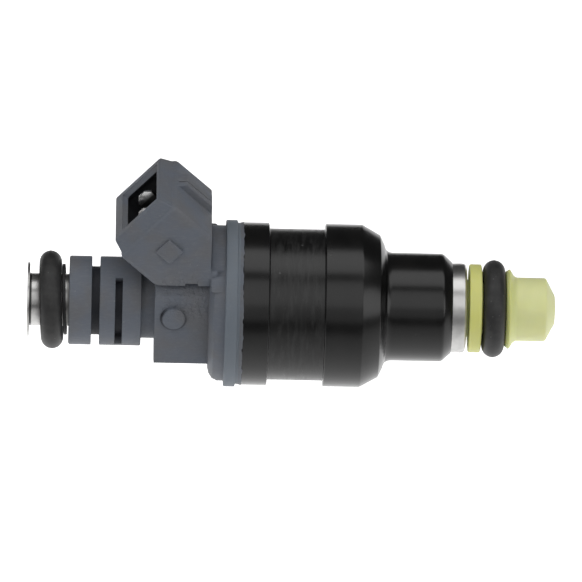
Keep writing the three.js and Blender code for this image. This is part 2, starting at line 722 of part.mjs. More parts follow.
function valveBodySeal() {
  return smallSeal(VALVE_SEAL_X, VALVE_R - VALVE_SEAL, VALVE_SEAL);
}

const armatureX = CORE_END_X + NEEDLE_LIFT + POLE_GAP;
const stemTopX = armatureX + SPRING_SEAT_DEEP;

function armature() {
  const end = armatureX + ARMATURE_LONG;
  const outer = ARMATURE_BORE_R - ARMATURE_GAP;
  const pocket = CORE_BORE_R - 0.15;
  const shell = turned([
    [armatureX, pocket],
    [armatureX, outer],
    [end, outer],
    [end, STEM_R + FIT],
    [stemTopX, STEM_R + FIT],
    [stemTopX, pocket],
  ]);
  const crossHole = new THREE.CylinderGeometry(CROSS_HOLE_R, CROSS_HOLE_R, 3 * outer, 10);
  crossHole.translate(armatureX + SPRING_SEAT_DEEP / 2, 0, 0);
  return toGeometry(toSolid(shell).subtract(toSolid(crossHole)));
}

function needle() {
  const upperLand = VALVE_TOP_X - SEAT_GAP + NEEDLE_LIFT + 0.01;
  const shaft = turned([
    [stemTopX, 0],
    [stemTopX, STEM_R],
    [upperLand, STEM_R],
    [upperLand, LAND_R],
    [upperLand + LAND_LONG, LAND_R],
    [upperLand + LAND_LONG, NEEDLE_WAIST_R],
    [LOWER_LAND_X, NEEDLE_WAIST_R],
    [LOWER_LAND_X, LAND_R],
    [LOWER_LAND_X + LAND_LONG, LAND_R],
    [LOWER_LAND_X + LAND_LONG, NEEDLE_WAIST_R],
    [CONE_X, NEEDLE_WAIST_R],
    [coneFoot - PINTLE_R, PINTLE_R],
    [PINTLE_END_X, PINTLE_R],
    [PINTLE_END_X, 0],
  ]);
  let solid = toSolid(shaft);
  for (let i = 0; i < 4; i += 1) {
    const flat = box(upperLand - 1, LOWER_LAND_X + LAND_LONG + 1, -2, 2, LAND_FLAT, LAND_FLAT + 2);
    solid = solid.subtract(toSolid(flat.rotateX((Math.PI / 2) * i)));
  }
  return toGeometry(solid);
}

function adjustingSleeve() {
  const end = SLEEVE_X + SLEEVE_LONG;
  const inner = SLEEVE_R - SLEEVE_WALL;
  const tube = turned([[SLEEVE_X, inner], [SLEEVE_X, SLEEVE_R], [end, SLEEVE_R], [end, inner]]);
  const slit = box(SLEEVE_X - 1, end + 1, -SLIT_WIDTH / 2, SLIT_WIDTH / 2, 0, 2 * SLEEVE_R);
  return toGeometry(toSolid(tube).subtract(toSolid(slit)));
}

class Helix extends THREE.Curve {
  constructor(start, end, radius, turns) {
    super();
    Object.assign(this, { start, end, radius, turns });
  }

  getPoint(t, target = new THREE.Vector3()) {
    const angle = 2 * Math.PI * this.turns * t;
    const x = this.start + (this.end - this.start) * t;
    return target.set(x, this.radius * Math.cos(angle), this.radius * Math.sin(angle));
  }
}

function returnSpring() {
  const start = SLEEVE_X + SLEEVE_LONG + SPRING_WIRE_R + FIT;
  const end = stemTopX - SPRING_WIRE_R - FIT;
  const wire = new THREE.Shape().absarc(0, 0, SPRING_WIRE_R, 0, 2 * Math.PI);
  const section = new THREE.Shape(wire.getPoints(6).slice(0, 6));
  return facingOut(new THREE.ExtrudeGeometry(section, {
    steps: SPRING_TURNS * 10,
    extrudePath: new Helix(start, end, SPRING_R, SPRING_TURNS),
  }));
}

// ---------- pintle cap ----------
function pintleCap() {
  const bore = NOSE_R + FIT;
  const spraySeat = NOSE_END_X + FIT;
  const chimneyEnd = CHIMNEY_X + CHIMNEY_LONG;
  return turned([
    [VALVE_FACE_X + SEAT_GAP, bore],
    [VALVE_FACE_X + SEAT_GAP, CAP_NECK_R],
    [CAP_FLANGE_X, CAP_NECK_R],
    [CAP_FLANGE_X, CAP_FLANGE_R],
    [GROOVE_X, CAP_FLANGE_R],
    [GROOVE_X, RING_GROOVE_R],
    [CAP_LIP_X, RING_GROOVE_R],
    [CAP_LIP_X, CAP_LIP_R - 0.3],
    [CAP_LIP_X + CAP_LIP_LONG / 2, CAP_LIP_R],
    [CAP_LIP_X + CAP_LIP_LONG, CAP_LIP_R - 0.6],
    [CHIMNEY_X, CHIMNEY_R],
    [chimneyEnd, CHIMNEY_R],
    [chimneyEnd + CAP_CONE_LONG, CAP_END_R],
    [chimneyEnd + CAP_CONE_LONG, SPRAY_R],
    [spraySeat, SPRAY_R],
    [spraySeat, bore],
    [SNAP_X + SNAP_HIGH * 2, bore],
    [SNAP_X + SNAP_HIGH, bore - SNAP_HIGH],
    [SNAP_X - SNAP_HIGH, bore - SNAP_HIGH],
    [SNAP_X - SNAP_HIGH * 2, bore],
  ]);
}

function lowerORing() {
  return turned(ringOutline(0, LOWER_RING_OD));
}

// ---------- assembly ----------
const injector = new THREE.Group();

function addPiece(name, geometry, surface) {
  const mesh = new THREE.Mesh(geometry, surface);
  mesh.name = name;
  injector.add(mesh);
}

addPiece('inlet_tube', inletTube(), steel());
addPiece('upper_o_ring', upperORing(), rubber());
addPiece('upper_backing_ring', upperBackingRing(), blackPlastic());
addPiece('strainer_sleeve', strainerSleeve(), brass());
addPiece('strainer_frame', strainerFrame(), whitePlastic());
addPiece('strainer_mesh', strainerMesh(), steel());
addPiece('adjusting_sleeve', adjustingSleeve(), steel());
addPiece('return_spring', returnSpring(), steel());
addPiece('connector_body', connectorBody(), greyPlastic());
addPiece('terminal_left', terminal(-1), steel());
addPiece('terminal_right', terminal(1), steel());
addPiece('coil_lead_left', coilLead(-1), copper());
addPiece('coil_lead_right', coilLead(1), copper());
addPiece('flux_plate', fluxPlate(), darkSteel());
addPiece('coil_bobbin', coilBobbin(), blackPlastic());
addPiece('coil_winding', coilWinding(), copper());
addPiece('upper_coil_seal', upperCoilSeal(), rubber());
addPiece('lower_coil_seal', lowerCoilSeal(), rubber());
addPiece('housing', housing(), darkSteel());
addPiece('armature', armature(), darkSteel());
addPiece('needle', needle(), steel());
addPiece('stop_plate', stopPlate(), steel());
addPiece('valve_body', valveBody(), steel());
addPiece('valve_body_seal', valveBodySeal(), rubber());
addPiece('pintle_cap', pintleCap(), yellowPlastic());
addPiece('lower_o_ring', lowerORing(), rubber());

export default injector;
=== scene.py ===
# %% [markdown]
# # A fuel injector, piece by piece
# This notebook dresses a finished mechanical model for a close-up picture. The sizes and the
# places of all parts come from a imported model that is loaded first. Here each visible piece is
# made again with softer edges and finer curves, and every piece gets a finish of its own.
# The object is only eight centimetres long, so the smallest edge matters.

import math
import random

import bpy
from mathutils import Matrix, Vector


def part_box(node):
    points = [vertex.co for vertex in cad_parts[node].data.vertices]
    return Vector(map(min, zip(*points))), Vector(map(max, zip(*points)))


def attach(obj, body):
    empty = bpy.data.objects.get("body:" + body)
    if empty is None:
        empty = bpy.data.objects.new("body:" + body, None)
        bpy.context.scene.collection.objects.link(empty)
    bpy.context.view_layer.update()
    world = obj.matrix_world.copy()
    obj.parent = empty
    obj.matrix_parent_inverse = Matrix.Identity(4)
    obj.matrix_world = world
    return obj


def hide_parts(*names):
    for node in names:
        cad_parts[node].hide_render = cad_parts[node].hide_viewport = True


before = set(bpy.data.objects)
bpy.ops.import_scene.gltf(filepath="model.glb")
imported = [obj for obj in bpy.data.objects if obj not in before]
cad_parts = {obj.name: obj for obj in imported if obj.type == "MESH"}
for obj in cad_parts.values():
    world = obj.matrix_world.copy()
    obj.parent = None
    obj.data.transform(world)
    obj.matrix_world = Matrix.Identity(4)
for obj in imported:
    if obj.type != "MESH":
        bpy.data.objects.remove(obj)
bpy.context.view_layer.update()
MM = 0.001


def in_mm(node):
    low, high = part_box(node)
    return Vector(low) / MM, Vector(high) / MM


moulding_low, moulding_high = in_mm("connector_body")
BLOCK_HALF_WIDTH = 7.4
block_x = moulding_low.x + 12.79
SOCKET_TILT = math.radians(42.5)
LEAN, RISE = math.cos(SOCKET_TILT), math.sin(SOCKET_TILT)
MOUTH = Vector((block_x - 2.92, 0, 17.56))
BOSS_PLACE, BOSS_R = Vector((block_x + 2.8, -BLOCK_HALF_WIDTH, 1.5)), 1.8

# %% [markdown]
# ## The camera
# A long lens from well back keeps the rings almost straight, as in a catalogue picture. The
# camera looks thirty degrees down on the injector's side, and it is turned about its own line of
# sight by a little over one degree, so that the nose dips. It stands level with the inlet and not
# with the middle, and turns a little to take in the whole part. That is why the inlet's rings look
# flat, while those at the nose open slightly.

# %% Place the camera
LOOK_AT = Vector((-30.05, 1.00, 1.74)) * MM
VIEW_WIDTH = 86.95 * MM
DISTANCE = 1400 * MM
STANDS_AT_X = -62 * MM
ELEVATION = math.radians(30)
ROLL = math.radians(1.21)
SENSOR = 36


def add_camera():
    level = Vector((1, 0, 0))
    front = Vector((0, -math.cos(ELEVATION), math.sin(ELEVATION)))
    place = LOOK_AT + front * DISTANCE + level * (STANDS_AT_X - LOOK_AT.x)
    away = (place - LOOK_AT).normalized()
    upright = away.cross(level).normalized()
    level = upright.cross(away)
    right = level * math.cos(ROLL) + upright * math.sin(ROLL)
    up = upright * math.cos(ROLL) - level * math.sin(ROLL)
    turn = Matrix((right, up, away)).transposed().to_4x4()
    data = bpy.data.cameras.new("camera")
    data.sensor_width = SENSOR
    data.lens = SENSOR * (place - LOOK_AT).length / VIEW_WIDTH
    camera = bpy.data.objects.new("camera", data)
    bpy.context.collection.objects.link(camera)
    camera.matrix_world = Matrix.Translation(place) @ turn
    bpy.context.scene.camera = camera
    return camera


camera = add_camera()
print("lens", round(camera.data.lens), "mm, camera height", round(camera.location.z, 3), "m")

# %% [markdown]
# ## Floor and light
# Glossy black plating shows the room more than itself. A long soft box straight above and one in
# front draw the highlights along the housing, and a weak low one fills the flank. Small boxes
# light the nose and the inlet. The floor glows, less towards the front, and throws light back
# under the barrel. It lies some way below, so the shadow on it is wide and faint.

# %% Set the stage
FLOOR_DROP = 0.16
bpy.context.scene.view_settings.view_transform = "Standard"


def add_area_light(name, place, size, power):
    data = bpy.data.lights.new(name, "AREA")
    data.shape = "RECTANGLE"
    data.size, data.size_y = size
    data.energy = power
    light = bpy.data.objects.new(name, data)
    bpy.context.collection.objects.link(light)
    light.location = place
    light.rotation_euler = (LOOK_AT - Vector(place)).to_track_quat("-Z", "Y").to_euler()


def add_world(strength):
    world = bpy.data.worlds.new("studio")
    world.use_nodes = True
    background = world.node_tree.nodes["Background"]
    background.inputs["Color"].default_value = (1.0, 1.0, 1.0, 1)
    background.inputs["Strength"].default_value = strength
    bpy.context.scene.world = world


add_world(0.05)
add_area_light("soft_box_above", (-0.03, 0.05, 0.60), (1.3, 0.41), 2.3)
add_area_light("soft_box_front", (-0.03, -0.49, 0.50), (1.3, 0.48), 2.0)
add_area_light("soft_box_low", (-0.03, -0.68, 0.19), (1.3, 0.24), 0.45)
add_area_light("nose_side", (0.80, -0.42, 0.30), (0.5, 0.5), 1.3)
add_area_light("inlet_side", (-0.70, -0.25, 0.25), (0.3, 0.3), 0.5)
print("floor", FLOOR_DROP, "m below the axis")

# %% [markdown]
# ## Tools for making pieces
# Nearly everything here was turned on a lathe or moulded round a turned part. So the main tool
# draws half a section as a chain of points and spins it round the injector's axis. A sharp corner
# never catches light, so each corner in the section carries its own rounding, worked out before
# the spin. That is cheaper and more even than a bevel afterwards.

# %% Section and spin
ROUND_STEPS = 3
SPIN_STEPS = 144


def deselect_all():
    if bpy.context.mode != "OBJECT":
        bpy.ops.object.mode_set(mode="OBJECT")
    bpy.ops.object.select_all(action="DESELECT")


def activate(piece):
    deselect_all()
    bpy.context.view_layer.objects.active = piece
    piece.select_set(True)


def settle(piece):
    """Writes a piece's place, turn and scale into its mesh."""
    activate(piece)
    bpy.ops.object.transform_apply(location=True, rotation=True, scale=True)


def shade(piece, degrees):
    """Shades smooth, but for edges that bend more than this."""
    activate(piece)
    bpy.ops.object.shade_smooth_by_angle(angle=math.radians(degrees))


def extrude(step):
    bpy.ops.mesh.extrude_region_move(TRANSFORM_OT_translate={"value": step})


def edit_all(piece):
    activate(piece)
    bpy.ops.object.mode_set(mode="EDIT")
    bpy.ops.mesh.select_mode(type="VERT")
    bpy.ops.mesh.select_all(action="SELECT")


def eased(outline):
    """Rounds each corner of a closed outline of (x, r) or (x, r, rounding) by its own amount."""
    points = []
    count = len(outline)
    for i, corner in enumerate(outline):
        here = Vector(corner[:2])
        ease = corner[2] if len(corner) > 2 else 0
        before = Vector(outline[i - 1][:2]) - here
        after = Vector(outline[(i + 1) % count][:2]) - here
        reach = min(ease, before.length * 0.48, after.length * 0.48)
        if reach <= 0:
            points.append(here)
            continue
        start, end = here + before.normalized() * reach, here + after.normalized() * reach
        for k in range(ROUND_STEPS + 1):
            t = k / ROUND_STEPS
            points.append(start * (1 - t) ** 2 + here * 2 * t * (1 - t) + end * t**2)
    return points


def spin_solid(name, outline, steps=SPIN_STEPS, sweep=360, smooth=32):
    """Turns a closed outline, in millimetres, round the X axis, starting straight up."""
    points = [Vector((p.x, 0, p.y)) * MM for p in eased(outline)]
    deselect_all()
    bpy.ops.mesh.primitive_plane_add(size=MM)
    piece = bpy.context.object
    piece.name = piece.data.name = name
    edit_all(piece)
    bpy.ops.mesh.merge(type="CENTER")
    bpy.ops.transform.translate(value=points[0])
    for before, after in zip(points, points[1:] + points[:1]):
        extrude(after - before)
    bpy.ops.mesh.select_all(action="SELECT")
    bpy.ops.mesh.remove_doubles(threshold=MM * 0.001)
    if sweep < 360:
        bpy.ops.mesh.edge_face_add()
    bpy.ops.mesh.spin(steps=steps, angle=math.radians(sweep), center=(0, 0, 0), axis=(1, 0, 0))
    bpy.ops.mesh.select_all(action="SELECT")
    bpy.ops.mesh.remove_doubles(threshold=MM * 0.001)
    bpy.ops.mesh.normals_make_consistent(inside=False)
    shade(piece, smooth)
    print(name, len(piece.data.polygons), "faces")
    return piece


def apply_modifier(piece, kind, **settings):
    activate(piece)
    modifier = piece.modifiers.new(kind.lower(), kind)
    for key, value in settings.items():
        setattr(modifier, key, value)
    bpy.ops.object.modifier_apply(modifier=modifier.name)


def combine(piece, other, operation):
    """Joins or cuts with another solid, which is then thrown away."""
    apply_modifier(piece, "BOOLEAN", object=other, operation=operation, solver="EXACT")
    bpy.data.objects.remove(other)


# %% [markdown]
# ## Tools for finishes
# A finish is a node tree, and its sums read better as Python than as a list of nodes. A small
# class wraps one output of a node, so that `1 - mask` or `grain * 0.3` adds the Math nodes. All
# patterns use Object coordinates, counted in millimetres, so a pattern of a given size looks the
# same on every piece and stays put when the needle moves.

# %% Sums on sockets
class Value:
    """One output of a node; sums on it add Math nodes."""

    def __init__(self, finish, socket):
        self.finish = finish
        self.socket = socket

    def maths(self, operation, first, second):
        return self.finish.node("Math", {"operation": operation}, {0: first, 1: second})

    def __add__(self, other):
        return self.maths("ADD", self, other)

    def __radd__(self, other):
        return self.maths("ADD", other, self)

    def __sub__(self, other):
        return self.maths("SUBTRACT", self, other)

    def __rsub__(self, other):
        return self.maths("SUBTRACT", other, self)

    def __mul__(self, other):
        return self.maths("MULTIPLY", self, other)

    def __pow__(self, other):
        return self.maths("POWER", self, other)

    def between(self, low, high):
        """0 at low, 1 at high, and a smooth climb in between."""
        return self.finish.node(
            "MapRange",
            {"interpolation_type": "SMOOTHSTEP"},
            {"Value": self, "From Min": low, "From Max": high},
        )

    def band(self, rise, fall):
        """1 between two ramps and 0 outside them; a ramp is where it starts and where it ends."""
        return self.between(*rise) * (1 - self.between(*fall))


class Finish:
    """A material whose shader takes its fixed numbers at once and its patterns later."""

    def __init__(self, name, colour, **fixed):
        self.material = bpy.data.materials.new(name)
        self.material.use_nodes = True
        self.tree = self.material.node_tree
        self.shader = self.tree.nodes["Principled BSDF"]
        self.set(Base_Color=(*colour, 1))
        self.set(**fixed)
        metres = self.node("TexCoord", output="Object")
        scaled = {"operation": "SCALE"}
        self.place = self.node("VectorMath", scaled, {0: metres, "Scale": 1000.0})

    def node(self, kind, settings=None, inputs=None, output=0):
        node = self.tree.nodes.new("ShaderNode" + kind)
        for key, value in (settings or {}).items():
            setattr(node, key, value)
        for key, value in (inputs or {}).items():
            self.plug(node.inputs[key], value)
        return Value(self, node.outputs[output])

    def plug(self, socket, value):
        if isinstance(value, Value):
            self.tree.links.new(value.socket, socket)
        else:
            socket.default_value = value

    def set(self, **sockets):
        for key, value in sockets.items():
            self.plug(self.shader.inputs[key.replace("_", " ")], value)

    def axis(self, which):
        return self.node("SeparateXYZ", None, {0: self.place}, output=which)

    def radius(self):
        y, z = self.axis("Y"), self.axis("Z")
        return (y * y + z * z) ** 0.5

    def noise(self, scale, detail=3.0, stretch=(1, 1, 1), roughness=0.5):
        """Noise with about `scale` blobs to the millimetre, stretched by each axis."""
        place = self.node("VectorMath", {"operation": "MULTIPLY"}, {0: self.place, 1: stretch})
        inputs = {"Vector": place, "Scale": scale, "Detail": detail, "Roughness": roughness}
        return self.node("TexNoise", None, inputs, output="Fac")

    def specks(self, scale, size):
        """Small round dots, 1 inside and 0 outside."""
        inputs = {"Vector": self.place, "Scale": scale}
        far = self.node("TexVoronoi", None, inputs, output="Distance")
        return 1 - far.between(size * 0.6, size)

    def mix(self, factor, first, second):
        inputs = {0: factor, 6: first, 7: second}
        return self.node("Mix", {"data_type": "RGBA"}, inputs, output=2)

    def bump(self, height, depth, strength=1.0):
        """`depth` is in millimetres."""
        inputs = {"Height": height, "Distance": depth * MM, "Strength": strength}
        self.set(Normal=self.node("Bump", None, inputs))

    def on(self, *pieces):
        for piece in pieces:
            if not piece.material_slots:
                piece.data.materials.append(self.material)
            for slot in piece.material_slots:
                slot.material = self.material


def grey(value, tint=(1, 1, 1)):
    return tuple(value * t for t in tint) + (1,)


# %% [markdown]
# ## Moulded grey plastic
# The moulding is nylon filled with short glass fibres. Its skin is matt and a little cloudy:
# cooler where the mould was polished, warmer elsewhere. The first groove and the slot, the
# socket's cavity and a crescent at the round button are painted dark as shade.
# A very fine grain breaks the highlight, and the side near the gate shows rough flow marks. Flow
# marks are wide soft hollows, so they are a second, larger noise that a mask keeps in its place.

# %% Grey moulding
def grey_moulding():
    finish = Finish("grey_moulding", (0.13, 0.14, 0.165), Specular_IOR_Level=0.32)
    x, y, z = finish.axis("X"), finish.axis("Y"), finish.axis("Z")
    cloud = finish.noise(0.22, 4)
    grain = finish.noise(7.0, 2)
    fibres = finish.noise(3.5, 3, (0.3, 1, 1))
    cool, warm = (0.134, 0.150, 0.180, 1), (0.142, 0.147, 0.160, 1)
    colour = finish.mix(cloud.between(0.35, 0.65), cool, warm)
    flange = x.band((-40.15, -39.9), (-37.9, -37.7))
    colour = finish.mix(flange * 0.75, colour, (0.165, 0.195, 0.228, 1))
    colour = finish.mix(fibres.between(0.45, 0.75) * 0.25, colour, grey(0.21, (0.95, 1, 1.06)))
    radius = finish.radius()
    # Painted shade: the floors of the first groove and of the slot are painted near black.
    groove = x.band((-60.3, -60.1), (block_x - 2.3, block_x - 2.1))
    groove = groove * (1 - radius.between(5.3, 6.4))
    colour = finish.mix(groove * 0.88, colour, (0.012, 0.013, 0.020, 1))
    # Painted shade: the inside of the socket's cavity is painted near black, where little light
    # reaches.
    depth = (x - MOUTH.x) * LEAN - (z - MOUTH.z) * RISE
    across = (x - MOUTH.x) * RISE + (z - MOUTH.z) * LEAN
    inside = depth.band((0.5, 1.3), (9.6, 9.8)) * across.band((-3.9, -3.7), (4.6, 4.7))
    inside = inside * (1 - (y ** 2).between(31, 34))
    colour = finish.mix(inside * 0.93, colour, (0.010, 0.010, 0.011, 1))
    along, up = x - BOSS_PLACE.x, z - BOSS_PLACE.z
    ring = (along ** 2 + up ** 2) ** 0.5
    # Painted shade: a dark crescent along the button's lower and left edge.
    button_shade = ring.band((BOSS_R - 0.3, BOSS_R), (BOSS_R + 0.05, BOSS_R + 0.35))
    button_shade = button_shade * (1 - (y - BOSS_PLACE.y).between(0.3, 0.6))
    button_shade = button_shade * (1 - (up + along * 0.5).between(-0.2, 1.6))
    colour = finish.mix(button_shade * 0.85, colour, (0.016, 0.018, 0.024, 1))
    dust = finish.specks(0.9, 0.13) * finish.noise(0.5, 2).between(0.52, 0.62)
    colour = finish.mix(dust * 0.3, colour, grey(0.3))
    finish.set(Base_Color=colour, Roughness=0.46 + cloud * 0.14 + grain * 0.08)
    gate = x.band((-50.2, -48.8), (-43.2, -42.2)) * z.band((0.5, 3.0), (7.6, 10.5))
    gate = gate * (1 - y.between(-6.0, -4.0))
    flow = finish.noise(1.1, 3).between(0.42, 0.62)
    finish.bump(grain * 0.25 + fibres * 0.2 + cloud * 0.5 + gate * flow * 0.9, 0.12, 0.85)
    return finish


GREY = grey_moulding()


# %% [markdown]
# ## Black plated steel
# The housing was turned, then plated black. Turning leaves rings so fine that they only show as
# a shimmer in the highlight: noise that changes quickly along the axis and hardly at all around
# it. The middle of the body was turned more coarsely than its two raised rings, so a mask gives
# the marks there more depth. Handling leaves faint smears, and there are a few grains of dust.

# %% Black housing
def black_plating():
    finish = Finish("black_plating", (0.004, 0.004, 0.004), Specular_IOR_Level=0.5)
    x = finish.axis("X")
    lines = finish.noise(5.0, 4, (1, 0.015, 0.015), 0.7)
    wide_lines = finish.noise(0.9, 2, (1, 0.01, 0.01))
    smear = finish.noise(0.3, 4, (1.4, 0.6, 0.6))
    turned = x.band((-33.6, -33.3), (-25.4, -25.1))
    streak = finish.noise(1.6, 4, (1, 0.16, 0.16), 0.65).between(0.42, 0.68) * turned
    colour = finish.mix(smear.between(0.35, 0.7), grey(0.0028), grey(0.0052, (1, 0.99, 0.96)))
    colour = finish.mix(streak * 0.8, colour, grey(0.02))
    dust = finish.specks(0.45, 0.09) * finish.noise(0.3, 2).between(0.56, 0.64)
    colour = finish.mix(dust * 0.5, colour, grey(0.09))
    rough = 0.2 + smear * 0.05 + lines * (0.03 + turned * 0.1) + streak * 0.08 + dust * 0.2
    finish.set(Base_Color=colour, Roughness=rough)
    height = lines * (0.05 + turned * 0.3) + wide_lines * (0.1 + turned * 0.2) + streak * 0.12
    finish.bump(height, 0.03, 0.6)
    return finish


BLACK = black_plating()


# %% [markdown]
# ## Bright turned steel
# The tube, its lip and the valve body are bare steel. Metal has no colour of its own beyond its
# tint, so all of the character is in the roughness: fine rings from the tool, and slightly dull
# smears where it was held. Right behind the inlet's lip a dark line of painted shade fills the
# crease.

# %% Bright steel
LIP_BACK = in_mm("inlet_tube")[0].x + 0.37


def bright_steel(name="bright_steel", tint=(0.60, 0.595, 0.585), base=0.25):
    finish = Finish(name, tint, Metallic=1.0)
    lines = finish.noise(7.0, 4, (1, 0.02, 0.02), 0.65)
    smear = finish.noise(0.5, 4)
    scratch = finish.noise(9.0, 2, (0.08, 1, 1)).between(0.62, 0.72)
    dark = tuple(t * 0.62 for t in tint) + (1,)
    colour = finish.mix(smear.between(0.35, 0.75) * 0.5, (*tint, 1), dark)
    x = finish.axis("X")
    # Painted shade: a dark line in the crease right behind the inlet's lip.
    lip_shade = x.band((LIP_BACK, LIP_BACK + 0.05), (LIP_BACK + 0.2, LIP_BACK + 0.35))
    colour = finish.mix(lip_shade * 0.9, colour, grey(0.02))
    rough = base + lines * 0.1 + smear.between(0.4, 0.8) * 0.14 + scratch * 0.08
    finish.set(Base_Color=colour, Roughness=rough)
    finish.bump(lines * 0.5 + scratch * 0.15, 0.02, 0.6)
    return finish


STEEL = bright_steel()
INNER_STEEL = bright_steel("soft_magnetic_steel", (0.36, 0.36, 0.37), 0.32)


# %% [markdown]
# ## Rubber O-rings
# The rings are nitrile rubber: a deep grey that is never quite black, with a soft wide sheen.
# The surface has a light bloom in patches and a few specks of dust, which rubber always holds.

# %% Rubber
def ring_rubber():
    finish = Finish("ring_rubber", (0.022, 0.022, 0.024), Specular_IOR_Level=0.42)
    bloom = finish.noise(0.8, 4)
    grain = finish.noise(9.0, 2)
    dust = finish.specks(1.6, 0.15) * finish.noise(0.7, 2).between(0.5, 0.62)
    colour = finish.mix(bloom.between(0.35, 0.7), grey(0.018), grey(0.031, (1, 0.99, 0.98)))
    colour = finish.mix(dust * 0.6, colour, grey(0.16))
    finish.set(Base_Color=colour, Roughness=0.44 + bloom * 0.16 + grain * 0.05)
    finish.set(Coat_Weight=0.08, Coat_Roughness=0.35)
    finish.bump(grain * 0.2 + bloom * 0.5 + dust * 0.3, 0.03, 0.8)
    return finish


RUBBER = ring_rubber()


# %% [markdown]
# ## The translucent cap
# The cap is unfilled nylon, yellow-green and slightly see-through: light soaks in and comes out
# a little further on, so shaded sides glow instead of turning grey. Subsurface scattering gives
# that with an opaque, closed surface. Thin edges look yellower, because less of the green
# thickness is behind them.

# %% Cap plastic
def cap_plastic():
    finish = Finish(
        "cap_plastic",
        (0.76, 0.79, 0.36),
        Subsurface_Weight=0.55,
        Subsurface_Radius=(1.0, 0.9, 0.35),
        Subsurface_Scale=1.1 * MM,
        Specular_IOR_Level=0.45,
    )
    x, radius = finish.axis("X"), finish.radius()
    cloud = finish.noise(0.35, 3)
    flow = finish.noise(1.6, 3, (0.25, 1, 1))
    pale, olive = (0.80, 0.82, 0.42, 1), (0.70, 0.74, 0.27, 1)
    colour = finish.mix(1 - x.between(1.5, 4.5), pale, olive)
    rim = radius.between(5.7, 6.5)
    colour = finish.mix(rim * 0.5, colour, (0.74, 0.71, 0.21, 1))
    colour = finish.mix(cloud.between(0.4, 0.7) * 0.18, colour, (0.66, 0.67, 0.31, 1))
    finish.set(Base_Color=colour, Roughness=0.34 + cloud * 0.14 + flow * 0.08)
    finish.bump(flow * 0.35 + cloud * 0.6, 0.05, 0.5)
    return finish


CAP = cap_plastic()


# %% [markdown]
# ## Finishes for the inside
# The parts that the housing hides get their own finishes too, because a part in a library may
# be taken apart. The winding shows its wires side by side: a wave along the axis, one ridge for
# each wire, with the varnish pooling darker between. The strainer's weave is the product of two
# waves, one along the axis and one around it.

# %% Copper, brass, tin, nylon and woven mesh
def copper_wire():
    finish = Finish("copper_wire", (0.5, 0.19, 0.08), Metallic=0.85)
    wires = finish.node("Math", {"operation": "SINE"}, {0: finish.axis("X") * 21.0})
    ridge = wires * 0.5 + 0.5
    varnish = finish.noise(0.6, 3)
    colour = finish.mix(ridge, (0.16, 0.045, 0.018, 1), (0.55, 0.21, 0.09, 1))
    colour = finish.mix(varnish.between(0.5, 0.8) * 0.4, colour, (0.3, 0.1, 0.03, 1))
    finish.set(Base_Color=colour, Roughness=0.24 + varnish * 0.2)
    finish.set(Coat_Weight=0.5, Coat_Roughness=0.15)
    finish.bump(ridge, 0.08, 0.8)
    return finish


def plain_metal(name, colour, rough):
    finish = Finish(name, colour, Metallic=1.0)
    rings = finish.noise(6.0, 3, (1, 0.03, 0.03))
    tarnish = finish.noise(0.7, 4)
    dull = tuple(c * 0.55 for c in colour) + (1,)
    tone = finish.mix(tarnish.between(0.45, 0.8), (*colour, 1), dull)
    finish.set(Base_Color=tone, Roughness=rough + rings * 0.12 + tarnish * 0.1)
    finish.bump(rings * 0.6 + tarnish * 0.2, 0.02, 0.6)
    return finish


def plain_moulding(name, colour, rough):
    finish = Finish(name, colour, Specular_IOR_Level=0.4)
    cloud, grain = finish.noise(0.5, 4), finish.noise(6.0, 2)
    shade = tuple(c * 0.75 for c in colour) + (1,)
    finish.set(Base_Color=finish.mix(cloud.between(0.35, 0.7), (*colour, 1), shade))
    finish.set(Roughness=rough + cloud * 0.12 + grain * 0.06)
    finish.bump(grain * 0.3 + cloud * 0.4, 0.04, 0.6)
    return finish


def woven_mesh():
    finish = Finish("woven_mesh", (0.5, 0.5, 0.5), Metallic=0.9)
    y, z = finish.axis("Y"), finish.axis("Z")
    around = finish.node("Math", {"operation": "ARCTAN2"}, {0: y, 1: z})
    warp = finish.node("Math", {"operation": "SINE"}, {0: around * 60.0})
    weft = finish.node("Math", {"operation": "SINE"}, {0: finish.axis("X") * 30.0})
    weave = (warp * weft) * 0.5 + 0.5
    finish.set(Base_Color=finish.mix(weave, grey(0.05), grey(0.55, (1, 0.99, 0.95))))
    finish.set(Roughness=0.3 + weave * 0.2)
    finish.bump(weave, 0.05, 0.8)
    return finish


def blade_tin():
    """Bright tin at the tips; further into the socket the colour is painted dark as shade, and
    rougher.
    """
    finish = Finish("blade_tin", (0.82, 0.82, 0.80), Metallic=1.0)
    depth = (finish.axis("X") - MOUTH.x) * LEAN - (finish.axis("Z") - MOUTH.z) * RISE
    # Painted shade: the blades turn dark deeper in the socket, where the cavity is in shade.
    shade_deep_in_socket = depth.between(1.3, 2.2)
    stain = finish.noise(0.9, 4)
    tone = finish.mix(shade_deep_in_socket, grey(0.9), grey(0.035))
    tone = finish.mix(stain.between(0.4, 0.8) * 0.4, tone, grey(0.05))
    finish.set(Base_Color=tone, Roughness=0.18 + stain * 0.12 + shade_deep_in_socket * 0.15)
    finish.bump(stain, 0.02, 0.5)
    return finish


COPPER = copper_wire()
BRASS = plain_metal("sleeve_brass", (0.62, 0.43, 0.17), 0.26)
TIN = blade_tin()
BLACK_NYLON = plain_moulding("black_nylon", (0.02, 0.02, 0.022), 0.42)
WHITE_NYLON = plain_moulding("natural_nylon", (0.6, 0.58, 0.5), 0.4)
MESH = woven_mesh()
print(len(bpy.data.materials), "materials in all")


# %% [markdown]
# ## The inlet tube
# One tube carries the fuel in and goes on inside as the magnet's core. Its end is rolled out
# into a thin lip that keeps the O-ring on. All lengths start from the part's own box, and the
# section is drawn once round: out over the lip, along the tube, and back through the bore.

# %% Inlet tube
def carried(piece, body, slot, finish, *nodes):
    """Hands a finished piece over: body, finish slot (not used), material, and the nodes it stands
    for.
    """
    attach(piece, body)
    if nodes:
        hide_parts(*nodes)
    finish.on(piece)
    return piece


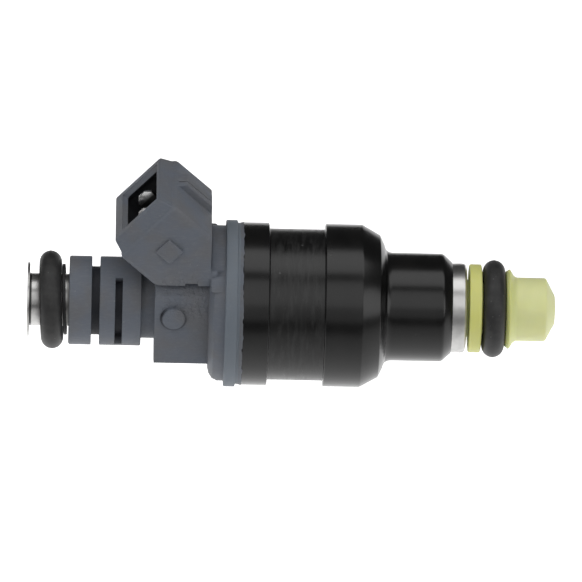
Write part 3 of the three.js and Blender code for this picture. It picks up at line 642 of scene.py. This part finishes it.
tube_low, tube_high = in_mm("inlet_tube")
LIP_THICK, LIP_R = 0.35, tube_high.z
TUBE_R, TUBE_BORE_R, CORE_BORE_R = 3.9, 3.1, 2.0
FILTER_LONG = 11


def inlet_tube():
    start, end, lip_r = tube_low.x, tube_high.x, LIP_R
    outline = [
        (start, TUBE_BORE_R, 0.15),
        (start, lip_r, 0.12),
        (start + LIP_THICK, lip_r, 0.1),
        (start + LIP_THICK, TUBE_R, 0.18),
        (end, TUBE_R, 0.1),
        (end, CORE_BORE_R, 0.1),
        (start + FILTER_LONG + 0.6, CORE_BORE_R),
        (start + FILTER_LONG, TUBE_BORE_R),
    ]
    return spin_solid("inlet_tube_turned", outline)


carried(inlet_tube(), "injector_body", "steel", STEEL, "inlet_tube")

# %% [markdown]
# ## The O-rings
# A moulded ring is a circle spun round the axis, but a real one has a hair of flash where the
# two halves of its mould met, inside and outside. The circle is written as a formula, and the
# flash is a narrow rise in its radius. The upper ring sits a little askew on its tube, as rings
# do before they are pushed home, so it is tipped once and the tilt is kept in its mesh. The lower
# one is moved a little along its groove, up to the cap's lip.

# %% O-rings
RING_SECTION = 3.4
RING_POINTS = 40
FLASH_HIGH = 0.035


def ring_outline(x, middle_r, section):
    points = []
    for k in range(RING_POINTS):
        angle = math.tau * k / RING_POINTS
        flash = FLASH_HIGH if abs(math.cos(angle)) < 0.05 else 0
        reach = section / 2 - FLASH_HIGH * 1.2 + flash
        points.append((x + reach * math.cos(angle), middle_r + reach * math.sin(angle)))
    return points


def tip(piece, centre_x, degrees):
    """Leans a piece about Y round a point of the axis, and keeps the lean in its mesh."""
    to_centre = Matrix.Translation((-centre_x * MM, 0, 0))
    lean = Matrix.Rotation(math.radians(degrees), 4, "Y")
    piece.matrix_world = to_centre.inverted() @ lean @ to_centre
    settle(piece)


def o_ring(node, lean=0, nudge=0):
    low, high = in_mm(node)
    centre = (low.x + high.x) / 2 + nudge
    outline = ring_outline(centre, high.y - RING_SECTION / 2, RING_SECTION)
    ring = spin_solid(node + "_rubber", outline)
    if lean:
        tip(ring, centre, lean)
    return carried(ring, "injector_body", "rubber", RUBBER, node)


UPPER_RING_LEAN, LOWER_RING_NUDGE = -2.4, 0.22
o_ring("upper_o_ring", lean=UPPER_RING_LEAN)
o_ring("lower_o_ring", nudge=LOWER_RING_NUDGE)


# %% [markdown]
# The thin black ring behind the upper O-ring backs it up against fuel pressure. It is a plain
# washer that lies against the O-ring, so it leans with it.

# %% Backing ring
BACKING_THICK = 0.45


def backing_ring():
    low, high = in_mm("upper_o_ring")
    centre = (low.x + high.x) / 2
    start = centre + RING_SECTION / 2 + 0.05
    end, inner, outer = start + BACKING_THICK, TUBE_R + 0.15, LIP_R - 0.25
    outline = [(start, inner, 0.05), (start, outer, 0.15), (end, outer, 0.1), (end, inner, 0.05)]
    ring = spin_solid("backing_ring_moulded", outline, 96)
    tip(ring, centre, UPPER_RING_LEAN)
    return ring


backing = backing_ring()
carried(backing, "injector_body", "black_plastic", BLACK_NYLON, "upper_backing_ring")

# %% [markdown]
# ## The strainer
# The filter sits just inside the lip: a brass sleeve grips a nylon cage, and the cage holds the
# screen. The cage starts as a turned cup, and three windows are cut through its wall with
# blocks. Cutting beats modelling the bars one by one, because the rims stay perfectly round.

# %% Strainer
SLEEVE_WALL = 0.3
CAGE_WALL = 0.5
SCREEN_WALL = 0.15


def block(name, low, high):
    """A box between two opposite corners, in millimetres."""
    low, high = Vector(low), Vector(high)
    deselect_all()
    bpy.ops.mesh.primitive_cube_add(size=1, location=(low + high) / 2 * MM)
    piece = bpy.context.object
    piece.name = piece.data.name = name
    piece.scale = [abs(side) * MM for side in high - low]
    settle(piece)
    return piece


def strainer_sleeve():
    low, high = in_mm("strainer_sleeve")
    inner = high.z - SLEEVE_WALL
    outline = [(low.x, inner, 0.12), (low.x, high.z, 0.08)]
    outline += [(high.x, high.z, 0.1), (high.x, inner, 0.1)]
    return spin_solid("strainer_sleeve_brass", outline, 96)


def strainer_cage():
    low, high = in_mm("strainer_frame")
    outer = high.z
    inner, floor = outer - CAGE_WALL, high.x - CAGE_WALL
    outline = [(low.x, inner, 0.1), (low.x, outer, 0.1), (high.x, outer, 0.15), (high.x, 0.01)]
    outline += [(floor, 0.01), (floor, inner, 0.1)]
    cage = spin_solid("strainer_cage_nylon", outline, 96)
    for k in range(3):
        window = block("window", (low.x + 2.6, -outer * 0.6, 0), (high.x - 1, outer * 0.6, TUBE_R))
        window.rotation_euler = (math.radians(30 + 120 * k), 0, 0)
        bpy.context.view_layer.update()
        combine(cage, window, "DIFFERENCE")
    return cage


def strainer_screen():
    low, high = in_mm("strainer_mesh")
    inner = high.z - SCREEN_WALL
    outline = [(low.x, inner), (low.x, high.z), (high.x, high.z), (high.x, inner)]
    return spin_solid("strainer_screen_woven", outline, 96)


carried(strainer_sleeve(), "injector_body", "brass", BRASS, "strainer_sleeve")
carried(strainer_cage(), "injector_body", "white_plastic", WHITE_NYLON, "strainer_frame")
carried(strainer_screen(), "injector_body", "steel", MESH, "strainer_mesh")

# %% [markdown]
# ## The grey moulding, part one: the barrel
# This is the piece with the most shapes in it, so it is built as the mould was: a turned core
# first, and then everything that sticks out of it. The ribs, the waist, the block, the collar
# and the wide flange are one section. The barrel is spun, then two cutting blocks give the middle
# its flat flanks.

# %% Barrel
RIB_R, GROOVE_R, WAIST_R = 6.625, 5.1, 5.45
BLOCK_R = 9.1
FIRST_RIB, GROOVE, SECOND_RIB, WAIST = 3.39, 1.2, 6.2, 2.0
BLOCK_LONG, COLLAR_LONG, FLANGE_THICK = 8.0, 2.45, 1.75
barrel_x = moulding_low.x
groove_x = barrel_x + FIRST_RIB
rib_x = groove_x + GROOVE
waist_x = rib_x + SECOND_RIB
print("block starts at", round(block_x, 2), "and", round(waist_x + WAIST, 2))
collar_x = block_x + BLOCK_LONG
flange_x = collar_x + COLLAR_LONG
flange_end_x = flange_x + FLANGE_THICK
FLANGE_R = moulding_high.y
STEP_R = FLANGE_R - 0.4
COLLAR_R = FLANGE_R - 0.85
COIL_SPACE_R = 10.0


def barrel():
    end, bore = moulding_high.x, TUBE_R + 0.05
    pocket = end - 0.93
    outline = [
        (barrel_x, bore, 0.2),
        (barrel_x, RIB_R, 0.32),
        (groove_x, RIB_R, 0.16),
        (groove_x, GROOVE_R, 0.12),
        (rib_x, GROOVE_R, 0.12),
        (rib_x, RIB_R, 0.2),
        (waist_x, RIB_R, 0.22),
        (waist_x, WAIST_R, 0.15),
        (block_x, WAIST_R, 0.15),
        (block_x, BLOCK_R, 0.3),
        (collar_x, BLOCK_R, 0.12),
        (collar_x + 0.05, BLOCK_R + 0.6),
        (collar_x + 0.25, COLLAR_R - 1.1),
        (collar_x + 0.75, COLLAR_R - 0.35),
        (collar_x + 1.5, COLLAR_R),
        (flange_x, COLLAR_R, 0.12),
        (flange_x, FLANGE_R, 0.25),
        (flange_end_x, FLANGE_R, 0.2),
        (flange_end_x, STEP_R, 0.05),
        (end, STEP_R, 0.08),
        (end, COIL_SPACE_R),
        (pocket, COIL_SPACE_R),
        (pocket, bore),
    ]
    piece = spin_solid("connector_moulding", outline)
    for side in (-1, 1):
        near = (block_x - 1, BLOCK_HALF_WIDTH * side, -20)
        combine(piece, block("flank_cutter", near, (collar_x, 20 * side, 20)), "DIFFERENCE")
    return piece


moulding = barrel()

# %% [markdown]
# ## The grey moulding, part two: the plug socket
# The socket is a box that leans back by a little over 42 degrees. It is modelled upright at the
# origin, where its sides line up with the axes: bevel the four long edges, pull the mouth forward
# while it shrinks, and only then tip it over and carry it to its place. What would poke out of
# the collar's far side and below the flanks is sliced off with bisect, which also fills the cut.

# %% Socket shell
SOCKET_WIDE, SOCKET_DEEP, SOCKET_LONG = 15.2, 11.9, 15.9
CAVITY_WIDE, CAVITY_DEEP, CAVITY_LONG = 11.2, 8.2, 9.5
CAVITY_SHIFT, LEAD_IN = 0.45, 0.6
SOCKET_CORNER, CAVITY_CORNER = 0.9, 1.3
MOUTH_BEVEL, MOUTH_BEVEL_LONG = 0.65, 1.9
SOCKET_FOOT_Z = 7.15
SOCKET_BACK_X = collar_x + 0.2


def clear_selection(*lists):
    bpy.ops.object.mode_set(mode="OBJECT")
    for items in lists:
        for item in items:
            item.select = False


def select_edges(piece, wanted):
    """Selects the edges for which wanted(edge's first end, its other end) is true."""
    clear_selection(piece.data.polygons, piece.data.vertices)
    points = [v.co for v in piece.data.vertices]
    for edge in piece.data.edges:
        edge.select = wanted(points[edge.vertices[0]], points[edge.vertices[1]])
    bpy.ops.object.mode_set(mode="EDIT")
    bpy.ops.mesh.select_mode(type="EDGE")


def select_faces(piece, wanted):
    """Selects the faces for which wanted(centre, normal) is true."""
    clear_selection(piece.data.vertices, piece.data.edges)
    for face in piece.data.polygons:
        face.select = wanted(face.center, face.normal)
    bpy.ops.object.mode_set(mode="EDIT")
    bpy.ops.mesh.select_mode(type="FACE")


def round_long_edges(piece, rounding, steps=5):
    edit_all(piece)
    select_edges(piece, lambda a, b: abs(a.z - b.z) > 0.5 * piece.dimensions.z)
    bpy.ops.mesh.bevel(offset=rounding * MM, segments=steps, affect="EDGES")


def into_socket(piece):
    """Tips an upright piece back and carries it to the mouth; its +Z points out of the mouth."""
    piece.rotation_euler = (0, SOCKET_TILT - math.pi / 2, 0)
    piece.location = MOUTH * MM
    settle(piece)


def slice_off(piece, point, normal):
    """Cuts away what lies beyond a plane and closes the cut."""
    edit_all(piece)
    plane = {"plane_co": Vector(point) * MM, "plane_no": normal}
    bpy.ops.mesh.bisect(**plane, use_fill=True, clear_outer=True)
    bpy.ops.object.mode_set(mode="OBJECT")


def trim_to_body(piece):
    slice_off(piece, (SOCKET_BACK_X, 0, 0), (1, 0, 0))
    slice_off(piece, (0, 0, SOCKET_FOOT_Z), (0, 0, -1))


def socket_shell():
    half_deep, half_wide = SOCKET_DEEP / 2, SOCKET_WIDE / 2
    low = (-half_deep, -half_wide, -SOCKET_LONG - MOUTH_BEVEL_LONG)
    shell = block("socket_shell", low, (half_deep, half_wide, -MOUTH_BEVEL_LONG))
    round_long_edges(shell, SOCKET_CORNER, 4)
    select_faces(shell, lambda centre, normal: normal.z > 0.9)
    extrude((0, 0, MOUTH_BEVEL_LONG * MM))
    shrink = (1 - MOUTH_BEVEL / half_deep, 1 - MOUTH_BEVEL / half_wide, 1)
    bpy.ops.transform.resize(value=shrink, center_override=(0, 0, 0))
    into_socket(shell)
    trim_to_body(shell)
    bevel = {"width": 0.12 * MM, "segments": 3, "limit_method": "ANGLE"}
    apply_modifier(shell, "BEVEL", angle_limit=math.radians(24), **bevel)
    return shell


shell = socket_shell()
print("socket shell:", len(shell.data.polygons), "faces")

# %% [markdown]
# ## The grey moulding, part three: ribs, lugs and marks
# Two key ribs on the upper face let only the right plug in. Each starts with a ramp, made by
# pulling the upper front edge of a box back. The square lugs on the flanks hold the plug's wire
# clip, and the round button is where the mould's pin stood. All of them are small, but they catch
# the light and tell the eye how big the socket is.

# %% Small features
KEY_HIGH, KEY_FOOT, KEY_START = 1.0, 0.8, 2.6
BLOCK_CORNER_Z = -6.24
KEY_RIBS = ((-0.35, 0.75), (1.05, 3.2))
LUG_SIDE, LUG_HIGH, LUG_DEPTH = 2.9, 0.55, 6.63
BOSS_HIGH = 0.55


def soften(piece, width, segments=3):
    settings = {"width": width * MM, "segments": segments, "limit_method": "ANGLE"}
    apply_modifier(piece, "BEVEL", angle_limit=math.radians(30), **settings)


def key_rib(low_y, high_y):
    face = SOCKET_DEEP / 2
    low = (face - KEY_FOOT, low_y, -SOCKET_LONG)
    rib = block("key_rib", low, (face + KEY_HIGH, high_y, KEY_FOOT - KEY_START))
    edit_all(rib)
    select_edges(rib, lambda a, b: min(a.x, b.x) > face * MM and min(a.z, b.z) > -KEY_START * MM)
    ramp = (KEY_FOOT + KEY_HIGH) * MM
    bpy.ops.transform.translate(value=(0, 0, -ramp))
    into_socket(rib)
    trim_to_body(rib)
    soften(rib, 0.14)
    return rib


def latch_lug(side):
    half = LUG_SIDE / 2
    low = (-half, (SOCKET_WIDE / 2 - 1) * side, -LUG_DEPTH - half)
    high = (half, (SOCKET_WIDE / 2 + LUG_HIGH) * side, -LUG_DEPTH + half)
    lug = block("latch_lug", low, high)
    edit_all(lug)
    select_edges(lug, lambda a, b: min(a.y * side, b.y * side) > SOCKET_WIDE / 2 * MM
                 and min(a.z, b.z) > -LUG_DEPTH * MM)
    bpy.ops.transform.translate(value=(0, -0.2 * side * MM, 0))
    into_socket(lug)
    soften(lug, 0.2)
    return lug


def button():
    deselect_all()
    middle = BOSS_PLACE + Vector((0, 0.5 - BOSS_HIGH / 2, 0))
    turn = (math.radians(90), 0, 0)
    size = {"radius": BOSS_R * MM, "depth": (1 + BOSS_HIGH) * MM, "vertices": 64}
    bpy.ops.mesh.primitive_cylinder_add(location=middle * MM, rotation=turn, **size)
    piece = bpy.context.object
    settle(piece)
    soften(piece, 0.12)
    return piece


def corner_gusset():
    """The short web that carries each flank of the socket into the collar."""
    half = SOCKET_WIDE / 2
    low = (SOCKET_BACK_X - 2, -half, SOCKET_FOOT_Z)
    gusset = block("corner_gusset", low, (collar_x + 1.3, half, SOCKET_FOOT_Z + 2.4))
    soften(gusset, 0.5, 4)
    return gusset


def shoulder_web():
    """Behind the socket the collar keeps its full radius, so that the socket leans on it."""
    start, end, inner = collar_x + 0.15, flange_x + 0.5, BLOCK_R - 1.5
    outer = COLLAR_R + 0.03
    web = spin_solid("web", [(start, inner), (start, outer, 0.5), (end, outer), (end, inner)])
    slice_off(web, (0, 0, SOCKET_FOOT_Z), (0, 0, -1))
    return web


def flank_corners():
    """Squares off the block's lower corners, and leaves the hole for the tube open."""
    half = BLOCK_HALF_WIDTH
    corners = block("corners", (block_x, -half, BLOCK_CORNER_Z), (collar_x + 0.1, half, 0))
    throat = block("throat", (block_x - 1, -half + 2, -20), (collar_x + 1, half - 2, 20))
    combine(corners, throat, "DIFFERENCE")
    return corners


for rib in KEY_RIBS:
    combine(shell, key_rib(*rib), "UNION")
for side in (-1, 1):
    combine(shell, latch_lug(side), "UNION")
combine(shell, corner_gusset(), "UNION")
combine(moulding, flank_corners(), "UNION")
combine(moulding, shoulder_web(), "UNION")
combine(moulding, shell, "UNION")
combine(moulding, button(), "UNION")
print("moulding:", len(moulding.data.polygons), "faces")

# %% [markdown]
# ## The grey moulding, part four: what is cut away
# Last come the hollows: the socket's cavity, which is a rounded box tipped like the shell, and
# the narrow slot across the second rib. The slot follows the barrel round, so its cutter is spun
# through only part of a turn.

# %% Cavity, slot and notch
SLOT_BACK, SLOT_WIDTH = 3.9, 1.1
SLOT_FROM, SLOT_TO = -45, 61


def cavity_cutter():
    half_deep, half_wide = CAVITY_DEEP / 2, CAVITY_WIDE / 2
    low = (CAVITY_SHIFT - half_deep, -half_wide, -CAVITY_LONG)
    cutter = block("cavity", low, (CAVITY_SHIFT + half_deep, half_wide, -LEAD_IN))
    round_long_edges(cutter, CAVITY_CORNER)
    select_faces(cutter, lambda centre, normal: normal.z > 0.9)
    extrude((0, 0, LEAD_IN * MM))
    flare = (1 + LEAD_IN / half_deep, 1 + LEAD_IN / half_wide, 1)
    bpy.ops.transform.resize(value=flare, center_override=(CAVITY_SHIFT * MM, 0, 0))
    extrude((0, 0, MM))
    into_socket(cutter)
    return cutter


def slot_cutter():
    start = waist_x - SLOT_BACK
    end, high = start + SLOT_WIDTH, RIB_R * 1.5
    outline = [(start, GROOVE_R), (start, high), (end, high), (end, GROOVE_R)]
    cutter = spin_solid("slot", outline, steps=32, sweep=SLOT_TO - SLOT_FROM)
    cutter.rotation_euler = (math.radians(90 - SLOT_FROM), 0, 0)
    settle(cutter)
    return cutter


def notch_cutter(side):
    low = (block_x + 4.4, (SOCKET_WIDE / 2 - 0.7) * side, SOCKET_FOOT_Z - 0.5)
    high = (block_x + 6.3, (SOCKET_WIDE / 2 + 1) * side, SOCKET_FOOT_Z + 0.4)
    return block("notch", low, high)


combine(moulding, cavity_cutter(), "DIFFERENCE")
combine(moulding, slot_cutter(), "DIFFERENCE")
for side in (-1, 1):
    combine(moulding, notch_cutter(side), "DIFFERENCE")
print("moulding, cut:", len(moulding.data.polygons), "faces")

# %% [markdown]
# ## The flash at the joint
# Where the moulding meets the steel, a film of plastic crept over the housing's edge and broke
# off unevenly. It is a very thin ring, and a seeded random table moves its free edge to and fro,
# the same at each run. It is joined to the moulding as it is, since it only touches it.

# %% Ragged flash
FLASH_FROM, FLASH_REACH, FLASH_THICK = 0.5, 0.1, 0.045
housing_low, housing_high = in_mm("housing")


def ragged_flash():
    start, end = moulding_high.x - FLASH_FROM, housing_low.x + FLASH_REACH
    outer = housing_high.y + FLASH_THICK
    outline = [
        (start, STEP_R - 0.08),
        (start, STEP_R + 0.01),
        (moulding_high.x, outer - 0.02),
        (end, outer),
        (end, outer - 0.06),
        (moulding_high.x, STEP_R - 0.08),
    ]
    ring = spin_solid("ragged_flash", outline)
    pick = random.Random(7)
    steps = [pick.uniform(-1, 1) ** 3 * 0.5 for _ in range(SPIN_STEPS)]
    for vertex in ring.data.vertices:
        if vertex.co.x > (end - 0.05) * MM:
            around = math.atan2(vertex.co.y, vertex.co.z) / math.tau * SPIN_STEPS
            vertex.co.x += steps[round(around) % SPIN_STEPS] * 0.3 * MM
    return ring


def join(piece, *others):
    deselect_all()
    for other in others:
        other.select_set(True)
    piece.select_set(True)
    bpy.context.view_layer.objects.active = piece
    bpy.ops.object.join()


join(moulding, ragged_flash())
shade(moulding, 28)
carried(moulding, "injector_body", "grey_plastic", GREY, "connector_body")

# %% [markdown]
# ## The blades
# Each terminal is one stamped strip: a tapered tip in the socket, then a run down to the coil.
# The tip is made by extruding the end face a little and shrinking it, so the plug's contact can
# ride up on it. The strip and its foot are two blocks joined into one solid.

# %% Terminals
BLADE_WIDE, BLADE_THICK, BLADE_PITCH = 2.8, 0.8, 5.0
BLADE_SETBACK, TIP_LONG = 0.8, 0.75
BLADE_FOOT_Z, BLADE_FOOT_WIDE = 6.9, 2.0


def terminal(node, side):
    low, high = in_mm(node)
    run = (MOUTH.z - BLADE_FOOT_Z) / RISE + 0.3
    half, thick = BLADE_WIDE / 2, BLADE_THICK / 2
    top = -BLADE_SETBACK - TIP_LONG
    strip = block(node + "_blade", (-half, -thick, -run), (half, thick, top))
    edit_all(strip)
    select_faces(strip, lambda centre, normal: normal.z > 0.9)
    extrude((0, 0, TIP_LONG * MM))
    bpy.ops.transform.resize(value=(0.42, 0.4, 1), center_override=(0, 0, 0))
    into_socket(strip)
    foot_half = BLADE_FOOT_WIDE / 2
    foot_low = (high.x - 4.2, -thick, BLADE_FOOT_Z - foot_half)
    foot = block("foot", foot_low, (high.x, thick, BLADE_FOOT_Z + foot_half))
    combine(strip, foot, "UNION")
    soften(strip, 0.07, 2)
    strip.location.y = side * BLADE_PITCH / 2 * MM
    settle(strip)
    shade(strip, 30)
    return carried(strip, "injector_body", "blade_tin", TIN, node)


terminal("terminal_left", -1)
terminal("terminal_right", 1)

# %% [markdown]
# ## The housing
# The black shell is turned from bar: two raised rings, a slightly smaller body between them, a
# cone and a hollow fillet down to the neck, and a nose that is rolled in over the valve body.
# Every corner gets the small chamfer that a lathe hand would break it with, because that is
# where the bright line at each ring comes from.

# %% Housing
RING_R = housing_high.y
BODY_R = RING_R - 0.85
NOZZLE_BORE_R, NECK_R = 7.0, 8.07
ARMATURE_BORE_R = 5.0


def housing():
    start, end = housing_low.x, housing_high.x
    ring_end, second = start + 3.9, start + 12.3
    second_end, cone_end = start + 17.8, start + 20.5
    neck, neck_end = start + 22.35, end - 1.4
    fillet = neck - cone_end - 0.7
    outline = [
        (start, COIL_SPACE_R, 0.1),
        (start, RING_R, 0.22),
        (ring_end, RING_R, 0.14),
        (ring_end + 0.12, BODY_R, 0.1),
        (second - 0.1, BODY_R, 0.12),
        (second, RING_R, 0.2),
        (second_end, RING_R, 0.12),
        (cone_end, RING_R - 1.5, 0.12),
        (neck - fillet, NECK_R + fillet, 0.1),
        (neck - fillet * 0.92, NECK_R + fillet * 0.62),
        (neck - fillet * 0.71, NECK_R + fillet * 0.29),
        (neck - fillet * 0.38, NECK_R + fillet * 0.08),
        (neck, NECK_R),
        (neck_end, NECK_R, 0.35),
        (end, 6.8, 0.12),
        (end, 6.65),
        (end - 1.55, NOZZLE_BORE_R),
        (neck + 1.7, NOZZLE_BORE_R),
        (neck + 1.7, ARMATURE_BORE_R),
        (cone_end - 5.1, ARMATURE_BORE_R),
        (cone_end - 5.1, COIL_SPACE_R),
    ]
    return spin_solid("housing_turned", outline, 180, smooth=24)


carried(housing(), "injector_body", "dark_steel", BLACK, "housing")

# %% [markdown]
# ## Valve body and needle
# Only a ring of the valve body shows between the housing and the cap, but it goes on through the
# cap as a nose with the seat in it. The needle's fine pin reaches through the orifice, and can be
# seen up the spray opening. Both are spun from the same numbers, so that the seat's cone and the
# needle's cone stay parallel.

# %% Valve body and needle
LAND_R, RUNNING, NOSE_R, ORIFICE_R = 1.98, 0.02, 2.9, 0.5
WAIST_NEEDLE_R, PINTLE_R, STEM_R = 1.3, 0.4, 1.47
SNAP_X, SNAP_HIGH = 1.2, 0.15
valve_low, valve_high = in_mm("valve_body")
needle_low, needle_high = in_mm("needle")
cap_low, cap_high = in_mm("pintle_cap")
cone_foot = valve_high.x - 2.0 + WAIST_NEEDLE_R


def valve_body():
    start, end, outer = valve_low.x, valve_high.x, valve_high.y
    face = cap_low.x - 0.02
    seal = start + 2.36
    bore, seat = LAND_R + RUNNING, cone_foot + RUNNING * math.sqrt(2)
    outline = [
        (start, bore, 0.1),
        (start, outer, 0.3),
        (seal - 0.8, outer, 0.08),
        (seal - 0.8, outer - 1.55, 0.1),
        (seal + 0.8, outer - 1.55, 0.1),
        (seal + 0.8, outer, 0.08),
        (housing_high.x - 1.6, outer, 0.1),
        (housing_high.x - 0.05, outer - 0.3, 0.05),
        (face, outer - 0.22, 0.75),
        (face, NOSE_R, 0.08),
        (SNAP_X - SNAP_HIGH * 2, NOSE_R),
        (SNAP_X - SNAP_HIGH, NOSE_R - SNAP_HIGH),
        (SNAP_X + SNAP_HIGH, NOSE_R - SNAP_HIGH),
        (SNAP_X + SNAP_HIGH * 2, NOSE_R),
        (end, NOSE_R, 0.25),
        (end, ORIFICE_R, 0.04),
        (seat - ORIFICE_R, ORIFICE_R),
        (seat - bore, bore),
    ]
    return spin_solid("valve_body_turned", outline)


def needle():
    start, end = needle_low.x, needle_high.x
    upper, lower = valve_low.x + 0.09, -1.2
    land = 1.6
    outline = [
        (start, 0.005),
        (start, STEM_R, 0.12),
        (upper, STEM_R, 0.05),
        (upper, LAND_R, 0.06),
        (upper + land, LAND_R, 0.1),
        (upper + land, WAIST_NEEDLE_R, 0.1),
        (lower, WAIST_NEEDLE_R, 0.1),
        (lower, LAND_R, 0.1),
        (lower + land, LAND_R, 0.1),
        (lower + land, WAIST_NEEDLE_R, 0.1),
        (cone_foot - WAIST_NEEDLE_R, WAIST_NEEDLE_R, 0.05),
        (cone_foot - PINTLE_R, PINTLE_R, 0.05),
        (end, PINTLE_R, 0.1),
        (end, 0.005),
    ]
    piece = spin_solid("needle_ground", outline, 96)
    for k in range(4):
        flat = block("flat", (upper - 1, -2, 1.65), (lower + land + 1, 2, 4))
        flat.rotation_euler = (math.radians(90 * k), 0, 0)
        bpy.context.view_layer.update()
        combine(piece, flat, "DIFFERENCE")
    return piece


carried(valve_body(), "injector_body", "steel", STEEL, "valve_body")
carried(needle(), "needle_assembly", "steel", STEEL, "needle")

# %% [markdown]
# ## The pintle cap
# The cap snaps over the nose. Its section is drawn like the others, from the small neck over the
# flange, through the ring groove, over the sharp lip that the ring slides past, and along the
# chimney to the spray opening. The lip sweeps down to the chimney in a hollow curve.

# %% Pintle cap
CAP_NECK_R, CHIMNEY_R, CAP_END_R, SPRAY_R = 4.25, 4.75, 2.1, 1.65


def pintle_cap():
    start, end, flange_r = cap_low.x, cap_high.x, cap_high.y
    flange, groove, lip = -3.5, -1.65, 2.0
    groove_r = in_mm("lower_o_ring")[1].y - RING_SECTION - 0.05
    bore, spray = NOSE_R + 0.05, valve_high.x + 0.05
    outline = [
        (start, bore, 0.05),
        (start, CAP_NECK_R, 0.05),
        (flange, CAP_NECK_R, 0.08),
        (flange, flange_r, 0.28),
        (groove, flange_r, 0.3),
        (groove, groove_r, 0.15),
        (lip, groove_r, 0.15),
        (lip, 5.6, 0.1),
        (lip + 0.55, 6.0, 0.14),
        (lip + 0.85, 5.62, 0.1),
        (lip + 1.15, 5.1, 0.1),
        (lip + 1.6, CHIMNEY_R, 0.2),
        (end - 1.4, CHIMNEY_R, 0.3),
        (end, CAP_END_R, 0.12),
        (end, SPRAY_R, 0.1),
        (spray, SPRAY_R),
        (spray, bore),
        (SNAP_X + SNAP_HIGH * 2, bore),
        (SNAP_X + SNAP_HIGH, bore - SNAP_HIGH),
        (SNAP_X - SNAP_HIGH, bore - SNAP_HIGH),
        (SNAP_X - SNAP_HIGH * 2, bore),
    ]
    return spin_solid("pintle_cap_moulded", outline)


carried(pintle_cap(), "injector_body", "yellow_plastic", CAP, "pintle_cap")

# %% [markdown]
# ## What stays as it is
# The parts inside the housing keep their mechanical shapes, which are right as they are. Each one
# only needs its real finish: copper for the winding and its leads, soft magnetic steel for what
# the coil pulls on, black nylon for the bobbin and rubber for the seals.

# %% Finishes on the inner parts
INNER = {
    "coil_winding": COPPER,
    "coil_lead_left": COPPER,
    "coil_lead_right": COPPER,
    "coil_bobbin": BLACK_NYLON,
    "flux_plate": INNER_STEEL,
    "armature": INNER_STEEL,
    "stop_plate": STEEL,
    "adjusting_sleeve": STEEL,
    "return_spring": STEEL,
    "upper_coil_seal": RUBBER,
    "lower_coil_seal": RUBBER,
    "valve_body_seal": RUBBER,
}
for node, finish in INNER.items():
    finish.on(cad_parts[node])
print("finished", len(INNER), "inner parts")

# %% [markdown]
# ## The floor
# The floor is a wide pale sheet. Its surface is matt with a barely visible grain, so that it
# reads as card and not as nothing. It also glows, bright at the back and fading towards the
# front, and so lights the part from below.

# %% Floor
def floor_card():
    finish = Finish("floor_card", (0.9, 0.9, 0.9), Specular_IOR_Level=0.1)
    grain = finish.noise(0.05, 3)
    finish.set(Base_Color=finish.mix(grain, grey(0.88), grey(0.92)), Roughness=0.9 + grain * 0.05)
    lit = finish.axis("Y").between(-380.0, 220.0)
    # The floor glows: bright at the back, fading to almost nothing towards the front.
    finish.set(Emission_Color=finish.mix(lit, grey(0.03), grey(1.0)), Emission_Strength=1.0)
    return finish


deselect_all()
bpy.ops.mesh.primitive_plane_add(size=6, location=(0, 0, -FLOOR_DROP))
floor = bpy.context.object
floor.name = "floor"
settle(floor)
floor_card().on(floor)
